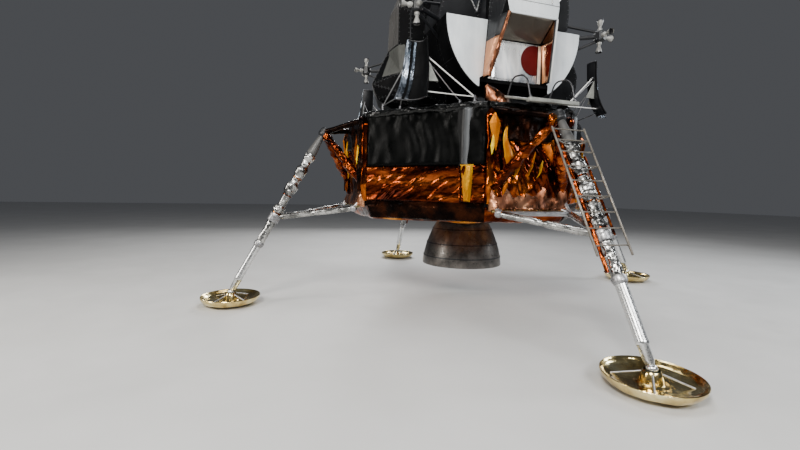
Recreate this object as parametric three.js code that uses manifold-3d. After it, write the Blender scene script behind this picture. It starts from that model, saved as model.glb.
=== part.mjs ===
// Full-size two-stage crewed lunar lander standing on its four legs.
// Millimetres, +Z up, origin on the ground under the centre. The hatch, porch and ladder face -Y.
// Port is the crew's left (+X) and starboard is the crew's right (-X).

import * as THREE from 'three';
import { mergeVertices } from 'three/addons/utils/BufferGeometryUtils.js';
import Module from 'manifold-3d';

const wasm = await Module();
wasm.setup();

// Driving dimensions

const seam = 0.3;               // gap between pieces that touch
const pinGap = 0.2;             // running gap between a pin's edges and its bore's faces
const deckZ = 3150;             // top of the descent stage above the ground
const stage = {
  height: 1650, faceHalf: 700, faceDistance: 2100, bevelHeight: 220, bevelInset: 90, cornerShare: 0.4,
};
const well = { radius: 700, roofZ: deckZ - 550 };
const engine = { pivotZ: 2150, throatZ: 1930, exitZ: 560, exitRadius: 750, throatRadius: 120, wall: 14 };
const gimbal = {
  inner: 320, outer: 380, height: 90, pinRadius: 24, pinSides: 16, pinReach: 100, lugHalf: 70,
};
const apex = { radius: 2710, z: deckZ - 211 };
const pad = { radius: 4250, ballZ: 200, rim: 470, height: 150, ball: 60 };
const strutRadius = 74;
const collarZ = 1450;
const trussFoot = { radius: 2300, half: 600, z: 1640 };
const ladder = {
  centreX: -65, half: 240, railRadius: 14, rungRadius: 9, offset: 125, tail: 120,
  rungZ: [2659, 2519, 2372, 2196, 2021, 1842, 1664, 1489, 1309],  // places on the strut beside each rung
  clampedRungs: [1, 3, 5], clampRadius: 110, clampHalf: 30,
};
const porch = {
  half: 393, frontY: -2606, rearY: -2000, frontZ: deckZ + 10, rearZ: deckZ + 180, thick: 40,
  beam: { depth: 70, below: 35, above: 15 },
  rail: { half: 355, radius: 14 },
  rearLeg: { x: 330, half: 30 },
  frontLeg: { radius: 26, top: [240, -2460], foot: [215, -2500, deckZ - 150] },
};
const cabin = {
  radius: 1174, z: deckZ + 1352, frontY: -1637, rearY: -550, wall: 60, floorZ: deckZ + 490,
  recess: { half: 760, depth: 390, topZ: deckZ + 445 },
  mast: { y: -1200, radius: 60, sunk: 30, height: 200 },
};
const hatch = { half: 400, bottomZ: deckZ + 502, topZ: deckZ + 1090, thick: 60, gap: 10, pinRadius: 8 };
const nose = { lowerHalf: 547, browHalf: 406, upperHalf: 440, wall: 46 };
const mid = {
  half: 750, frontY: cabin.rearY + seam, rearY: 850, baseZ: deckZ + 250, topZ: deckZ + 2400, wall: 60,
};
const midFloorZ = deckZ + 900;
const tunnel = { y: 120, bore: 412, outer: 475, topZ: deckZ + 2830 };
const aft = { half: 1000, rearY: 1640, baseZ: deckZ + 200, topZ: deckZ + 2050, bevel: 160 };
const quad = {
  offset: 1608, z: deckZ + 1397, bodyHalf: 85, bodyRadius: 90, boomRadius: 32, braceRadius: 20,
  chamber: { start: 60, radius: 36, end: 130 }, throat: { at: 150, radius: 20 },
  exit: { at: 250, radius: 50, hollow: 45 },
};
const dishDrive = { pinRadius: 14, armHalf: 20, barHalf: 35, hubRadius: 60 };

// Colours and finishes

const finish = (color, roughness, metalness) => (
  new THREE.MeshStandardMaterial({ color, roughness, metalness, flatShading: true }));
const blackBlanket = finish(0x17181a, 0.75, 0.0);
const greyPanel = finish(0x6e7276, 0.55, 0.6);
const silverPanel = finish(0xc9cfd2, 0.4, 0.4);
const amberFoil = finish(0xc8741a, 0.25, 1.0);
const silverFoil = finish(0xc4c2bb, 0.3, 1.0);
const polished = finish(0xd8d4cf, 0.08, 1.0);
const aluminium = finish(0x9a9c9e, 0.45, 0.9);
const whitePaint = finish(0xe6e6e2, 0.5, 0.0);
const nozzleMetal = finish(0x8b8782, 0.4, 0.9);
const darkGlass = finish(0x20262b, 0.1, 0.0);

// Solids: every shape is a closed manifold, joined and cut, then turned into a geometry

const v3 = (x, y, z) => new THREE.Vector3(x, y, z);
const up = v3(0, 1, 0);

function solid(geometry) {
  const bare = geometry.clone();
  bare.deleteAttribute('normal');
  bare.deleteAttribute('uv');
  const merged = mergeVertices(bare);
  const triVerts = [];
  const index = merged.index.array;
  for (let i = 0; i < index.length; i += 3) {
    const [a, b, c] = [index[i], index[i + 1], index[i + 2]];
    if (a !== b && b !== c && c !== a) triVerts.push(a, b, c);
  }
  return new wasm.Manifold(new wasm.Mesh({
    numProp: 3,
    vertProperties: new Float32Array(merged.attributes.position.array),
    triVerts: new Uint32Array(triVerts),
  }));
}

const join = (...solids) => solids.reduce((sum, next) => sum.add(next));
const cut = (body, ...tools) => tools.reduce((rest, tool) => rest.subtract(tool), body);

function geometryOf(manifold) {
  const { numProp, vertProperties, triVerts } = manifold.getMesh();
  const positions = new Float32Array((vertProperties.length / numProp) * 3);
  for (let i = 0; i < positions.length / 3; i += 1) {
    for (let k = 0; k < 3; k += 1) positions[3 * i + k] = vertProperties[numProp * i + k];
  }
  const geometry = new THREE.BufferGeometry();
  geometry.setAttribute('position', new THREE.BufferAttribute(positions, 3));
  geometry.setIndex(Array.from(triVerts));
  geometry.computeVertexNormals();
  return geometry;
}

function part(name, manifold, material) {
  const mesh = new THREE.Mesh(geometryOf(manifold), material);
  mesh.name = name;
  return mesh;
}

function ringNormal(ring) {
  const normal = v3(0, 0, 0);
  ring.forEach((p, i) => {
    const q = ring[(i + 1) % ring.length];
    normal.x += (p.y - q.y) * (p.z + q.z);
    normal.y += (p.z - q.z) * (p.x + q.x);
    normal.z += (p.x - q.x) * (p.y + q.y);
  });
  return normal;
}

function capTriangles(ring, offset, sign) {
  const normal = ringNormal(ring).multiplyScalar(sign);
  const size = [Math.abs(normal.x), Math.abs(normal.y), Math.abs(normal.z)];
  const drop = size.indexOf(Math.max(...size));
  const [u, v] = [['y', 'z'], ['z', 'x'], ['x', 'y']][drop];
  const flat = ring.map((p) => new THREE.Vector2(p[u], p[v]));
  return THREE.ShapeUtils.triangulateShape(flat, []).flatMap(([a, b, c]) => {
    const facing = new THREE.Triangle(ring[a], ring[b], ring[c]).getNormal(v3(0, 0, 0)).dot(normal) > 0;
    return (facing ? [a, b, c] : [a, c, b]).map((i) => i + offset);
  });
}

// A closed body skinned over rings of points that all have the same count
function loft(rings) {
  const count = rings[0].length;
  const last = rings.length - 1;
  const index = [
    ...capTriangles(rings[0], 0, -1),
    ...capTriangles(rings[last], last * count, 1),
  ];
  for (let r = 0; r < last; r += 1) {
    for (let i = 0; i < count; i += 1) {
      const [a, b] = [r * count + i, r * count + (i + 1) % count];
      index.push(a, b, b + count, a, b + count, a + count);
    }
  }
  const geometry = new THREE.BufferGeometry();
  const positions = rings.flat().flatMap((p) => [p.x, p.y, p.z]);
  geometry.setAttribute('position', new THREE.Float32BufferAttribute(positions, 3));
  geometry.setIndex(index);
  return solid(facingOut(geometry));
}

const prismX = (yz, x0, x1) => loft([x0, x1].map((x) => yz.map(([y, z]) => v3(x, y, z))));

function box(x0, x1, y0, y1, z0, z1) {
  const geometry = new THREE.BoxGeometry(x1 - x0, y1 - y0, z1 - z0);
  geometry.translate((x0 + x1) / 2, (y0 + y1) / 2, (z0 + z1) / 2);
  return solid(geometry);
}

// A body of revolution about the line from a towards b; profile rows are [distance from a, radius]
function spun(a, b, profile, sides = 16) {
  const rows = profile.map(([along, radius]) => new THREE.Vector2(radius, along));
  const geometry = new THREE.LatheGeometry(rows, sides);
  const turn = new THREE.Quaternion().setFromUnitVectors(up, b.clone().sub(a).normalize());
  geometry.applyQuaternion(turn);
  geometry.translate(a.x, a.y, a.z);
  return solid(facingOut(geometry));
}

// Turns the faces of a closed geometry over where they enclose a negative volume
function facingOut(geometry) {
  const at = geometry.attributes.position;
  const index = Array.from(geometry.index.array);
  const corner = (i) => v3().fromBufferAttribute(at, index[i]);
  let volume = 0;
  for (let i = 0; i < index.length; i += 3) {
    volume += corner(i).dot(corner(i + 1).cross(corner(i + 2)));
  }
  if (volume < 0) geometry.setIndex(index.map((_, i) => index[i - (i % 3) + [0, 2, 1][i % 3]]));
  return geometry;
}

// Radius of a faceted bore in which a pin turns freely
const boreRadius = (pinRadius, sides = 12) => (pinRadius + pinGap) / Math.cos(Math.PI / sides);

const cone = (a, b, ra, rb, sides = 10) => {
  const length = a.distanceTo(b);
  return spun(a, b, [[0, 0], [0, ra], [length, rb], [length, 0]], sides);
};
const tube = (a, b, radius, sides = 8) => cone(a, b, radius, radius, sides);
const ball = (centre, radius, sides = 8) => {
  const geometry = new THREE.SphereGeometry(radius, sides, sides / 2);
  geometry.translate(centre.x, centre.y, centre.z);
  return solid(geometry);
};

// A bent rod whose points share one X
const bentRod = (points, radius, sides = 6) => loft(points.map((p, i) => {
  const before = p.clone().sub(points[Math.max(i - 1, 0)]).normalize();
  const after = points[Math.min(i + 1, points.length - 1)].clone().sub(p).normalize();
  const across = v3(1, 0, 0).cross(before.add(after).normalize());
  return Array.from({ length: sides }, (_, k) => {
    const angle = (2 * Math.PI * k) / sides;
    return p.clone().add(v3(radius * Math.cos(angle), 0, 0))
      .addScaledVector(across, radius * Math.sin(angle));
  });
}));

// Descent stage: an octagon with four wide diagonal bays and a round well for the engine

function octagon(inset, z) {
  const half = stage.faceHalf - inset * stage.cornerShare;
  const far = stage.faceDistance - inset;
  const corners = [[half, -far], [far, -half], [far, half], [half, far],
    [-half, far], [-far, half], [-far, -half], [-half, -far]];
  return corners.map(([x, y]) => v3(x, y, z));
}

function descentStage() {
  const baseZ = deckZ - stage.height;
  const shell = loft([
    octagon(stage.bevelInset, baseZ), octagon(0, baseZ + stage.bevelHeight), octagon(0, deckZ),
  ]);
  const hollow = tube(v3(0, 0, baseZ - 10), v3(0, 0, well.roofZ), well.radius, 32);
  const { outer, lugHalf, pinRadius, pinSides, pinReach } = gimbal;
  const z = engine.pivotZ;
  const lugs = [1, -1].map((side) => {
    const [from, to] = [side * (outer + 20), side * (well.radius + 60)].sort((a, b) => a - b);
    const lug = box(from, to, -lugHalf, lugHalf, z - lugHalf, z + lugHalf);
    const bore = tube(v3(side * outer, 0, z), v3(side * (outer + pinReach + 30), 0, z),
      boreRadius(pinRadius, pinSides), pinSides);
    return cut(lug, bore);
  });
  return part('descent_stage', join(cut(shell, hollow), ...lugs), blackBlanket);
}

// Descent engine: a hollow bell under a chamber, hung in a ring that tilts about X, itself tilting about Y

function gimbalRing() {
  const { inner, outer, height, pinRadius, pinSides, pinReach } = gimbal;
  const half = height / 2;
  const z = engine.pivotZ;
  const ring = spun(v3(0, 0, z), v3(0, 0, z + 1),
    [[-half, inner], [-half, outer], [half, outer], [half, inner], [-half, inner]], 24);
  const pins = [1, -1].map((s) => (
    tube(v3(s * (outer - 20), 0, z), v3(s * (outer + pinReach), 0, z), pinRadius, pinSides)));
  const bore = tube(v3(0, -outer - 10, z), v3(0, outer + 10, z), boreRadius(pinRadius, pinSides), pinSides);
  return part('engine_gimbal_ring', cut(join(ring, ...pins), bore), aluminium);
}

function bellRadius(z) {
  const drop = (engine.throatZ - z) / (engine.throatZ - engine.exitZ);
  return engine.throatRadius + (engine.exitRadius - engine.throatRadius) * (1 - (1 - drop) ** 1.7);
}

function descentEngine() {
  const steps = 5;
  const stations = Array.from({ length: steps + 1 }, (_, i) => (
    engine.exitZ + ((engine.throatZ - engine.exitZ) * i) / steps));
  const outer = stations.map((z) => [z, bellRadius(z) + engine.wall]);
  const inner = stations.slice().reverse().map((z) => [z, bellRadius(z)]);
  const chamber = [[engine.throatZ + 60, 190], [engine.pivotZ + 160, 210], [engine.pivotZ + 240, 120]];
  const bell = spun(v3(0, 0, 0), v3(0, 0, 1), [
    ...outer, ...chamber, [engine.pivotZ + 240, 0], [engine.throatZ + 20, 0], ...inner, outer[0],
  ], 24);
  const reach = gimbal.outer - 5;
  const pins = [1, -1].map((s) => (
    tube(v3(0, s * 150, engine.pivotZ), v3(0, s * reach, engine.pivotZ), gimbal.pinRadius, gimbal.pinSides)));
  return part('descent_engine', join(bell, ...pins), nozzleMetal);
}

// Landing gear. Each leg is drawn facing -Y and turned into place about Z.

const legPoint = (x, radius, z) => v3(x, -radius, z);
const apexPoint = legPoint(0, apex.radius, apex.z);
const ballPoint = legPoint(0, pad.radius, pad.ballZ);
const legAxis = ballPoint.clone().sub(apexPoint).normalize();
const onLeg = (z) => apexPoint.clone().addScaledVector(legAxis, (z - apexPoint.z) / legAxis.z);
const hubEnd = apexPoint.clone().addScaledVector(legAxis, 90);

const wallY = -stage.faceDistance - seam;
const sunk = 60;                // length of a tube inside the stage wall, cut off flush with it

const armFrom = ({ half, z, radius }, side, grow) => (
  tube(v3(side * half, wallY + sunk, z), apexPoint, radius + grow));
const upperOutrigger = (side, grow = 0) => (
  armFrom({ half: stage.faceHalf - 60, z: deckZ - 60, radius: 38 }, side, grow));
const lowerOutrigger = (side, grow = 0) => (
  armFrom({ half: 600, z: deckZ - 1150, radius: 55 }, side, grow));
const stageWall = box(-1000, 1000, wallY, 0, 0, deckZ + 500);

function outrigger(name) {
  const arms = [1, -1].flatMap((side) => [upperOutrigger(side), lowerOutrigger(side)]);
  const hub = tube(apexPoint.clone().addScaledVector(legAxis, -70), hubEnd, 95, 12);
  return part(name, cut(join(...arms, hub), stageWall), amberFoil);
}

// The strut's telescoping body, or with grow the room that a clamp around it needs
function strutBody(grow = 0) {
  const start = hubEnd.clone().addScaledVector(legAxis, seam);
  const length = start.distanceTo(ballPoint);
  const sleeve = length - 900;
  return spun(start, ballPoint, [
    [0, 0], [0, 48 + grow], [470, 86 + grow], [520, strutRadius + grow], [sleeve, strutRadius + grow],
    [sleeve, 64 + grow], [length, 64 + grow], [length, 0],
  ], 12);
}

const primaryStrut = (name) => part(name, join(strutBody(), ball(ballPoint, pad.ball, 12)), silverFoil);

function secondaryStruts(name) {
  const { half, radius, z } = trussFoot;
  const collar = { from: onLeg(collarZ + 70), to: onLeg(collarZ - 70), radius: strutRadius + 22 };
  const feet = [1, -1].map((side) => legPoint(side * half, radius, z));
  // Braces from each foot back to the stage: columns are how far inboard and how far up they end
  const braces = [[0, 230], [170, 110]];
  const arms = feet.flatMap((foot) => [
    tube(onLeg(collarZ), foot, 46),
    ball(foot, 60, 6),
    ...braces.map(([inboard, rise]) => (
      tube(foot, v3(Math.sign(foot.x) * (half - inboard), wallY + sunk, z + rise), 32, 6))),
  ]);
  const frame = join(tube(collar.from, collar.to, collar.radius, 12), ...arms, tube(...feet, 36));
  return part(name, cut(frame, strutBody(seam), stageWall), silverFoil);
}

function footpad(name) {
  const foot = legPoint(0, pad.radius, 0);
  const dish = spun(foot, foot.clone().setZ(1), [
    [0, 0], [0, 250], [60, 420], [pad.height, pad.rim], [pad.height - 12, pad.rim - 14],
    [90, 400], [60, 260], [60, 130], [pad.ballZ - 30, 105], [pad.ballZ - 30, 0],
  ], 20);
  const seat = join(ball(ballPoint, pad.ball + seam, 12),
    tube(onLeg(pad.ballZ), onLeg(pad.ballZ + 200), 64 + 8, 12));
  return part(name, cut(dish, seat), amberFoil);
}

function ladderFrame() {
  const { centreX, half, railRadius, rungRadius, rungZ, offset, tail, clampRadius, clampHalf } = ladder;
  const outward = v3(0, legAxis.z, -legAxis.y);
  const shift = outward.multiplyScalar(offset * Math.sign(-outward.y));
  const rung = (z, s) => onLeg(z).add(shift).setX(centreX + s * half);
  const foot = (s) => rung(rungZ.at(-1), s).addScaledVector(legAxis, tail);
  const top = (s) => rung(rungZ[0], s).addScaledVector(legAxis, -rungRadius);
  const rails = [1, -1].map((s) => tube(top(s), foot(s), railRadius, 6));
  const rungs = rungZ.map((z) => tube(rung(z, -1), rung(z, 1), rungRadius, 6));
  const brackets = ladder.clampedRungs.map((i) => {
    const centre = onLeg(rungZ[i]);
    const end = (s) => centre.clone().addScaledVector(legAxis, s * clampHalf);
    const arms = [1, -1].map((s) => tube(centre, rung(rungZ[i], s), rungRadius, 6));
    return join(tube(end(-1), end(1), clampRadius, 12), ...arms);
  });
  return part('ladder', cut(join(...rails, ...rungs, ...brackets), strutBody(seam)), aluminium);
}

// Porch: a sloping platform with a handrail arch on each side, carried by the deck and the forward outrigger

function porchPlatform() {
  const { half, frontY, rearY, frontZ, rearZ, thick, beam, rail, rearLeg, frontLeg } = porch;
  const plate = prismX([
    [frontY, frontZ], [rearY, rearZ], [rearY, rearZ - thick], [frontY, frontZ - thick],
  ], -half, half);
  const edge = box(-half, half, frontY - 10, frontY + beam.depth, frontZ - beam.below, frontZ + beam.above);
  // Handrail from the cabin end to the ladder end: columns are distance along Y and height over the deck
  const arch = [[-2020, 160], [-2150, 403], [-2390, 365], [-2490, 290], [-2580, 0]];
  const rails = [1, -1].map((s) => (
    bentRod(arch.map(([y, z]) => v3(s * rail.half, y, deckZ + z)), rail.radius)));
  const rearLegs = [1, -1].map((s) => (
    box(s * rearLeg.x - rearLeg.half, s * rearLeg.x + rearLeg.half, rearY - 80, rearY - 20,
      deckZ + seam, rearZ - 20)));
  const frontLegs = [1, -1].map((s) => (
    tube(v3(s * frontLeg.top[0], frontLeg.top[1], frontZ),
      v3(s * frontLeg.foot[0], ...frontLeg.foot.slice(1)), frontLeg.radius)));
  const upperTubes = [1, -1].map((s) => upperOutrigger(s, seam));
  return part('porch', join(plate, edge, ...rails, ...rearLegs, cut(join(...frontLegs), ...upperTubes)),
    silverPanel);
}

// Plume deflectors: one curved trough under each thruster cluster, braced to the deck

// Trough stations from top to bottom: columns are distance out, height over the deck and half-width
const trough = {
  stations: [[2120, 960, 150], [2140, 640, 190], [2200, 320, 220], [2310, 90, 250]], sweep: 130, skin: 14,
};

function troughY(x, z) {
  const rows = trough.stations;
  const i = rows.findIndex(([, height], k) => k > 0 && height <= z);
  const t = (rows[i - 1][1] - z) / (rows[i - 1][1] - rows[i][1]);
  const out = THREE.MathUtils.lerp(rows[i - 1][0], rows[i][0], t);
  const half = THREE.MathUtils.lerp(rows[i - 1][2], rows[i][2], t);
  return -(out + trough.sweep * (x / half) ** 2 - trough.skin / 2);
}

// Drawn facing -Y and turned onto its corner of the vehicle
function plumeDeflector(name) {
  const arc = [-1, -0.5, 0, 0.5, 1];
  const rings = trough.stations.map(([out, z, half]) => {
    const point = (t, inset) => (
      v3(t * (half - inset * 0.3), -(out + trough.sweep * t * t - inset), deckZ + z));
    return [...arc.map((t) => point(t, 0)), ...arc.slice().reverse().map((t) => point(t, trough.skin))];
  });
  // Posts on the deck: columns are side offset, distance out and height
  const posts = { outer: [760, 1880, 170], inner: [500, 1780, 150] };
  // Braces: columns are side offset and height on the trough, the post that they run to, and radius
  const braces = [[150, 700, 'outer', 15], [150, 640, 'inner', 11], [170, 190, 'outer', 13]];
  const struts = braces.flatMap(([x, z, post, radius]) => [1, -1].map((s) => {
    const [footX, out, height] = posts[post];
    return tube(v3(s * x, troughY(x, z), deckZ + z), v3(s * footX, -out, deckZ + height - 20), radius, 5);
  }));
  const stands = Object.values(posts).flatMap(([x, out, height]) => [1, -1].map((s) => (
    cone(v3(s * x, -out, deckZ + seam), v3(s * x, -out, deckZ + height), 45, 22, 8))));
  return part(name, join(loft(rings), ...struts, ...stands), blackBlanket);
}

// Ascent stage cabin: a drum lying along Y, with recessed window bays, a hatchway and a flat floor

const windowPlane = { low: [-1287, cabin.z], high: [cabin.frontY, cabin.z + 798] };
const windowRise = windowPlane.high[1] - windowPlane.low[1];
const windowTilt = Math.atan2(windowPlane.low[0] - windowPlane.high[0], windowRise);

function windowBay(side, grow) {
  const { low, high } = windowPlane;
  const shift = grow / Math.cos(windowTilt);
  const run = (high[0] - low[0]) / windowRise;
  const profile = [
    [cabin.frontY - 80, low[1] - grow], [low[0] + shift - run * grow, low[1] - grow],
    [high[0] + shift + run * grow, high[1] + grow], [cabin.frontY - 80, high[1] + grow],
  ];
  const edges = [side * (500 - grow), side * 1400].sort((a, b) => a - b);
  return prismX(profile, ...edges);
}

// A triangular pane in the plane of the window bay, from depth0 to depth1 behind its face
function pane(side, inset, depth0, depth1) {
  const corners = [
    [560 + inset, 700 - inset], [930 - 2.2 * inset, 700 - inset], [560 + inset, 260 + 2.0 * inset],
  ];
  const along = v3(0, -Math.sin(windowTilt), Math.cos(windowTilt));
  const behind = v3(0, Math.cos(windowTilt), Math.sin(windowTilt));
  const foot = v3(0, windowPlane.low[0], windowPlane.low[1]);
  return loft([depth0, depth1].map((depth) => corners.map(([x, rise]) => (
    v3(side * x, 0, 0).add(foot).addScaledVector(along, rise).addScaledVector(behind, depth)))));
}

const drum = (radius, y0, y1, sides = 40) => tube(v3(0, y0, cabin.z), v3(0, y1, cabin.z), radius, sides);

function hatchLugs() {
  return hatchKnuckles.map((z) => cut(
    box(-445, -413, cabin.frontY + 40, cabin.frontY + 107, z + 52, z + 92),
    tube(v3(hatchPin.x, hatchPin.y, z), v3(hatchPin.x, hatchPin.y, z + 200),
      boreRadius(hatch.pinRadius), 12)));
}

const hatchPin = { x: -425, y: cabin.frontY + 87 };
const hatchKnuckles = [hatch.bottomZ + 110, hatch.topZ - 190];

// The whole shell, which the bulkhead and the drum behind it are cut from
function cabinShell() {
  const { radius, z, frontY, rearY, wall, floorZ, recess } = cabin;
  const skin = drum(radius, frontY, rearY);
  const inside = cut(
    drum(radius - wall, frontY + wall, rearY + 10),
    box(-2000, 2000, -3000, 1000, z - 2000, floorZ),
    windowBay(1, wall), windowBay(-1, wall),
  );
  const hatchway = box(-hatch.half - hatch.gap, hatch.half + hatch.gap, frontY - 10, frontY + wall + 10,
    hatch.bottomZ - hatch.gap, hatch.topZ + hatch.gap);
  const footRecess = box(-recess.half, recess.half, frontY - 10, frontY + recess.depth, z - 2000, recess.topZ);
  return cut(skin, windowBay(1, 0), windowBay(-1, 0), inside, hatchway, footRecess,
    pane(1, 0, -200, 200), pane(-1, 0, -200, 200));
}

const bulkheadY = cabin.frontY + cabin.wall;

function frontBulkhead() {
  const behind = box(-2000, 2000, bulkheadY, 1000, 0, 9000);
  return part('front_bulkhead', join(cut(cabinShell(), behind), ...hatchLugs()), greyPanel);
}

function crewCabin() {
  const { radius, z, mast } = cabin;
  const ahead = box(-2000, 2000, -3000, bulkheadY + seam, 0, 9000);
  const dishMast = tube(v3(0, mast.y, z + radius - mast.sunk), v3(0, mast.y, z + radius + mast.height),
    mast.radius, 16);
  return part('crew_cabin', join(cut(cabinShell(), ahead), dishMast), greyPanel);
}

const cabinWindow = (name, side) => part(name, pane(side, 0.8, 20, 40), darkGlass);

function frontHatch() {
  const { half, bottomZ, topZ, thick } = hatch;
  const plate = box(-half, half, cabin.frontY, cabin.frontY + thick, bottomZ, topZ);
  const knuckles = hatchKnuckles.flatMap((z) => [
    tube(v3(hatchPin.x, hatchPin.y, z - 50), v3(hatchPin.x, hatchPin.y, z + 50), 18, 12),
    tube(v3(hatchPin.x, hatchPin.y, z), v3(hatchPin.x, hatchPin.y, z + 90), hatch.pinRadius, 12),
    box(-425, -385, hatchPin.y - 14, hatchPin.y + 14, z - 50, z + 50),
    box(-395, -370, cabin.frontY + 40, hatchPin.y + 14, z - 50, z + 50),
  ]);
  const handle = bentRod([v3(300, cabin.frontY + 50, topZ - 250), v3(300, cabin.frontY + 110, topZ - 250),
    v3(300, cabin.frontY + 110, topZ - 400), v3(300, cabin.frontY + 50, topZ - 400)], 12);
  return part('front_hatch', join(plate, ...knuckles, handle), polished);
}

// Nose: the deep beam over the hatch, with side walls that shelter the hatch recess

function noseShroud() {
  const backY = cabin.frontY - seam;
  const { lowerHalf, browHalf, upperHalf, wall } = nose;
  // Front outline from bottom to top: columns are distance along Y, height over the deck and half-width
  const front = [[-1789, 501, lowerHalf], [-2079, 1321, browHalf], [-2060, 1500, upperHalf],
    [-1960, 2020, 455], [-1760, 2400, 400]];
  const ring = (side) => [
    ...front.map(([y, z, half]) => v3(side * half, y, deckZ + z)),
    v3(side * 400, backY, deckZ + 2440), v3(side * 480, backY, deckZ + 1500),
    v3(side * lowerHalf, backY, deckZ + 501),
  ];
  const hood = loft([ring(-1), ring(1)]);
  // Room under the beam: columns are distance along Y, height over the deck and half-width
  const room = [[-2600, 300, lowerHalf - wall], [backY + 50, 300, lowerHalf - wall],
    [backY + 50, 1100, 460], [-2079, 1321, browHalf - wall], [-2600, 1321, browHalf - wall]];
  const hollow = loft([-1, 1].map((side) => (
    room.map(([y, z, half]) => v3(side * half, y, deckZ + z)))));
  return part('nose_shroud', cut(hood, hollow), silverPanel);
}

// Midsection: the box behind the cabin, open to it, with the docking tunnel in its roof

const topPin = { y: tunnel.y + 425, z: mid.topZ - mid.wall - 27 };

function midsection() {
  const { half, frontY, rearY, baseZ, topZ, wall } = mid;
  const shell = box(-half, half, frontY, rearY, baseZ, topZ);
  const room = box(-half + wall, half - wall, frontY + wall, rearY - wall, midFloorZ, topZ - wall);
  const doorway = box(-450, 450, frontY - 10, frontY + wall + 10, midFloorZ, deckZ + 2150);
  const bore = tube(v3(0, tunnel.y, topZ - 200), v3(0, tunnel.y, topZ + 50), tunnel.bore, 32);
  const legs = [-1, 1].flatMap((sx) => [frontY + 120, rearY - 120].map((y) => (
    cone(v3(sx * 620, y, baseZ + 20), v3(sx * 620, y, deckZ + seam), 90, 60, 12))));
  const lug = cut(box(60, 100, topPin.y - 12, topPin.y + 20, topPin.z - 20, topZ - 30),
    tube(v3(0, topPin.y, topPin.z), v3(200, topPin.y, topPin.z), boreRadius(hatch.pinRadius), 12));
  return part('midsection', join(cut(shell, room, doorway, bore), ...legs, lug), blackBlanket);
}

function overheadHatch() {
  const plate = tube(v3(0, tunnel.y, mid.topZ - mid.wall), v3(0, tunnel.y, mid.topZ), hatch.half, 32);
  const knuckle = tube(v3(-50, topPin.y, topPin.z), v3(56, topPin.y, topPin.z), 18, 12);
  const pin = tube(v3(0, topPin.y, topPin.z), v3(98, topPin.y, topPin.z), hatch.pinRadius, 12);
  const arm = join(box(-50, 50, topPin.y - 60, topPin.y, topPin.z - 14, topPin.z + 14),
    box(-50, 50, topPin.y - 60, topPin.y - 35, topPin.z - 14, mid.topZ - 40));
  return part('overhead_hatch', join(plate, knuckle, pin, arm), silverPanel);
}

function dockingRing() {
  const { y, bore, outer, topZ } = tunnel;
  const base = v3(0, y, mid.topZ + seam);
  const height = topZ - mid.topZ - seam;
  return part('docking_ring', spun(base, base.clone().setZ(topZ), [
    [0, bore], [0, outer + 60], [40, outer], [height - 50, outer - 20], [height - 50, outer + 20],
    [height, outer + 20], [height, bore], [0, bore],
  ], 32), aluminium);
}

// Aft equipment bay: a bevelled box face to face with the midsection

function aftBay() {
  const { half, rearY, baseZ, topZ, bevel } = aft;
  const frontY = mid.rearY + seam;
  const ring = (inset, y) => [
    [-half + inset, baseZ + bevel], [-half + bevel, baseZ + inset], [half - bevel, baseZ + inset],
    [half - inset, baseZ + bevel], [half - inset, topZ - bevel], [half - bevel, topZ - inset],
    [-half + bevel, topZ - inset], [-half + inset, topZ - bevel],
  ].map(([x, z]) => v3(x, y, z));
  return part('aft_bay', loft([ring(0, frontY), ring(0, rearY - bevel), ring(bevel / 2, rearY)]), greyPanel);
}

// Tank fairings: faceted bulges on each side, the port one reaching further out. Each outline runs from
// the lowest inner corner to the highest one: columns are distance from the centre and height over the deck.

const fairingY = { capFront: -780, front: -600, middle: -100, rear: 560, capRear: 740, capInset: 150 };
const flankX = mid.half + seam;
const starboardOutlines = {
  front: [[flankX, 250], [1300, 250], [1480, 440], [1515, 770], [1570, 1220], [1570, 1850], [1350, 2250],
    [flankX, 2350]],
  middle: [[flankX, 250], [1480, 250], [1790, 420], [1885, 665], [1605, 1240], [1575, 1850], [1400, 2250],
    [flankX, 2350]],
  rear: [[flankX, 250], [1330, 250], [1600, 420], [1690, 690], [1405, 1250], [1365, 1850], [1220, 2200],
    [flankX, 2300]],
};
const portOutlines = {
  front: [[flankX, 250], [1620, 250], [1960, 500], [2050, 860], [1960, 1280], [1700, 1600], [1350, 2120],
    [flankX, 2350]],
  middle: [[flankX, 250], [1900, 250], [2300, 520], [2430, 900], [2300, 1320], [1950, 1650], [1500, 2150],
    [flankX, 2350]],
  rear: [[flankX, 250], [1700, 250], [2060, 520], [2170, 900], [2050, 1300], [1740, 1630], [1350, 2120],
    [flankX, 2300]],
};

function tankFairing(name, side, { front, middle, rear }, mastFoot) {
  const { capInset } = fairingY;
  const ring = (outline, y) => outline.map(([x, z]) => v3(side * x, y, deckZ + z));
  const cap = (outline, y) => ring(outline.map(([x, z]) => {
    const share = Math.min(1, (x - flankX) / 200);
    return [x - capInset * share, z + Math.sign(1200 - z) * capInset * share];
  }), y);
  const skin = loft([
    cap(front, fairingY.capFront), ring(front, fairingY.front), ring(middle, fairingY.middle),
    ring(rear, fairingY.rear), cap(rear, fairingY.capRear),
  ]);
  const cabinSpace = drum(cabin.radius + seam, cabin.frontY - 50, cabin.rearY + seam);
  return part(name, join(cut(skin, cabinSpace), ...mastFoot), greyPanel);
}

const pole = (x, y, z0, z1, radius) => tube(v3(x, y, deckZ + z0), v3(x, y, deckZ + z1), radius, 8);

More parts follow.
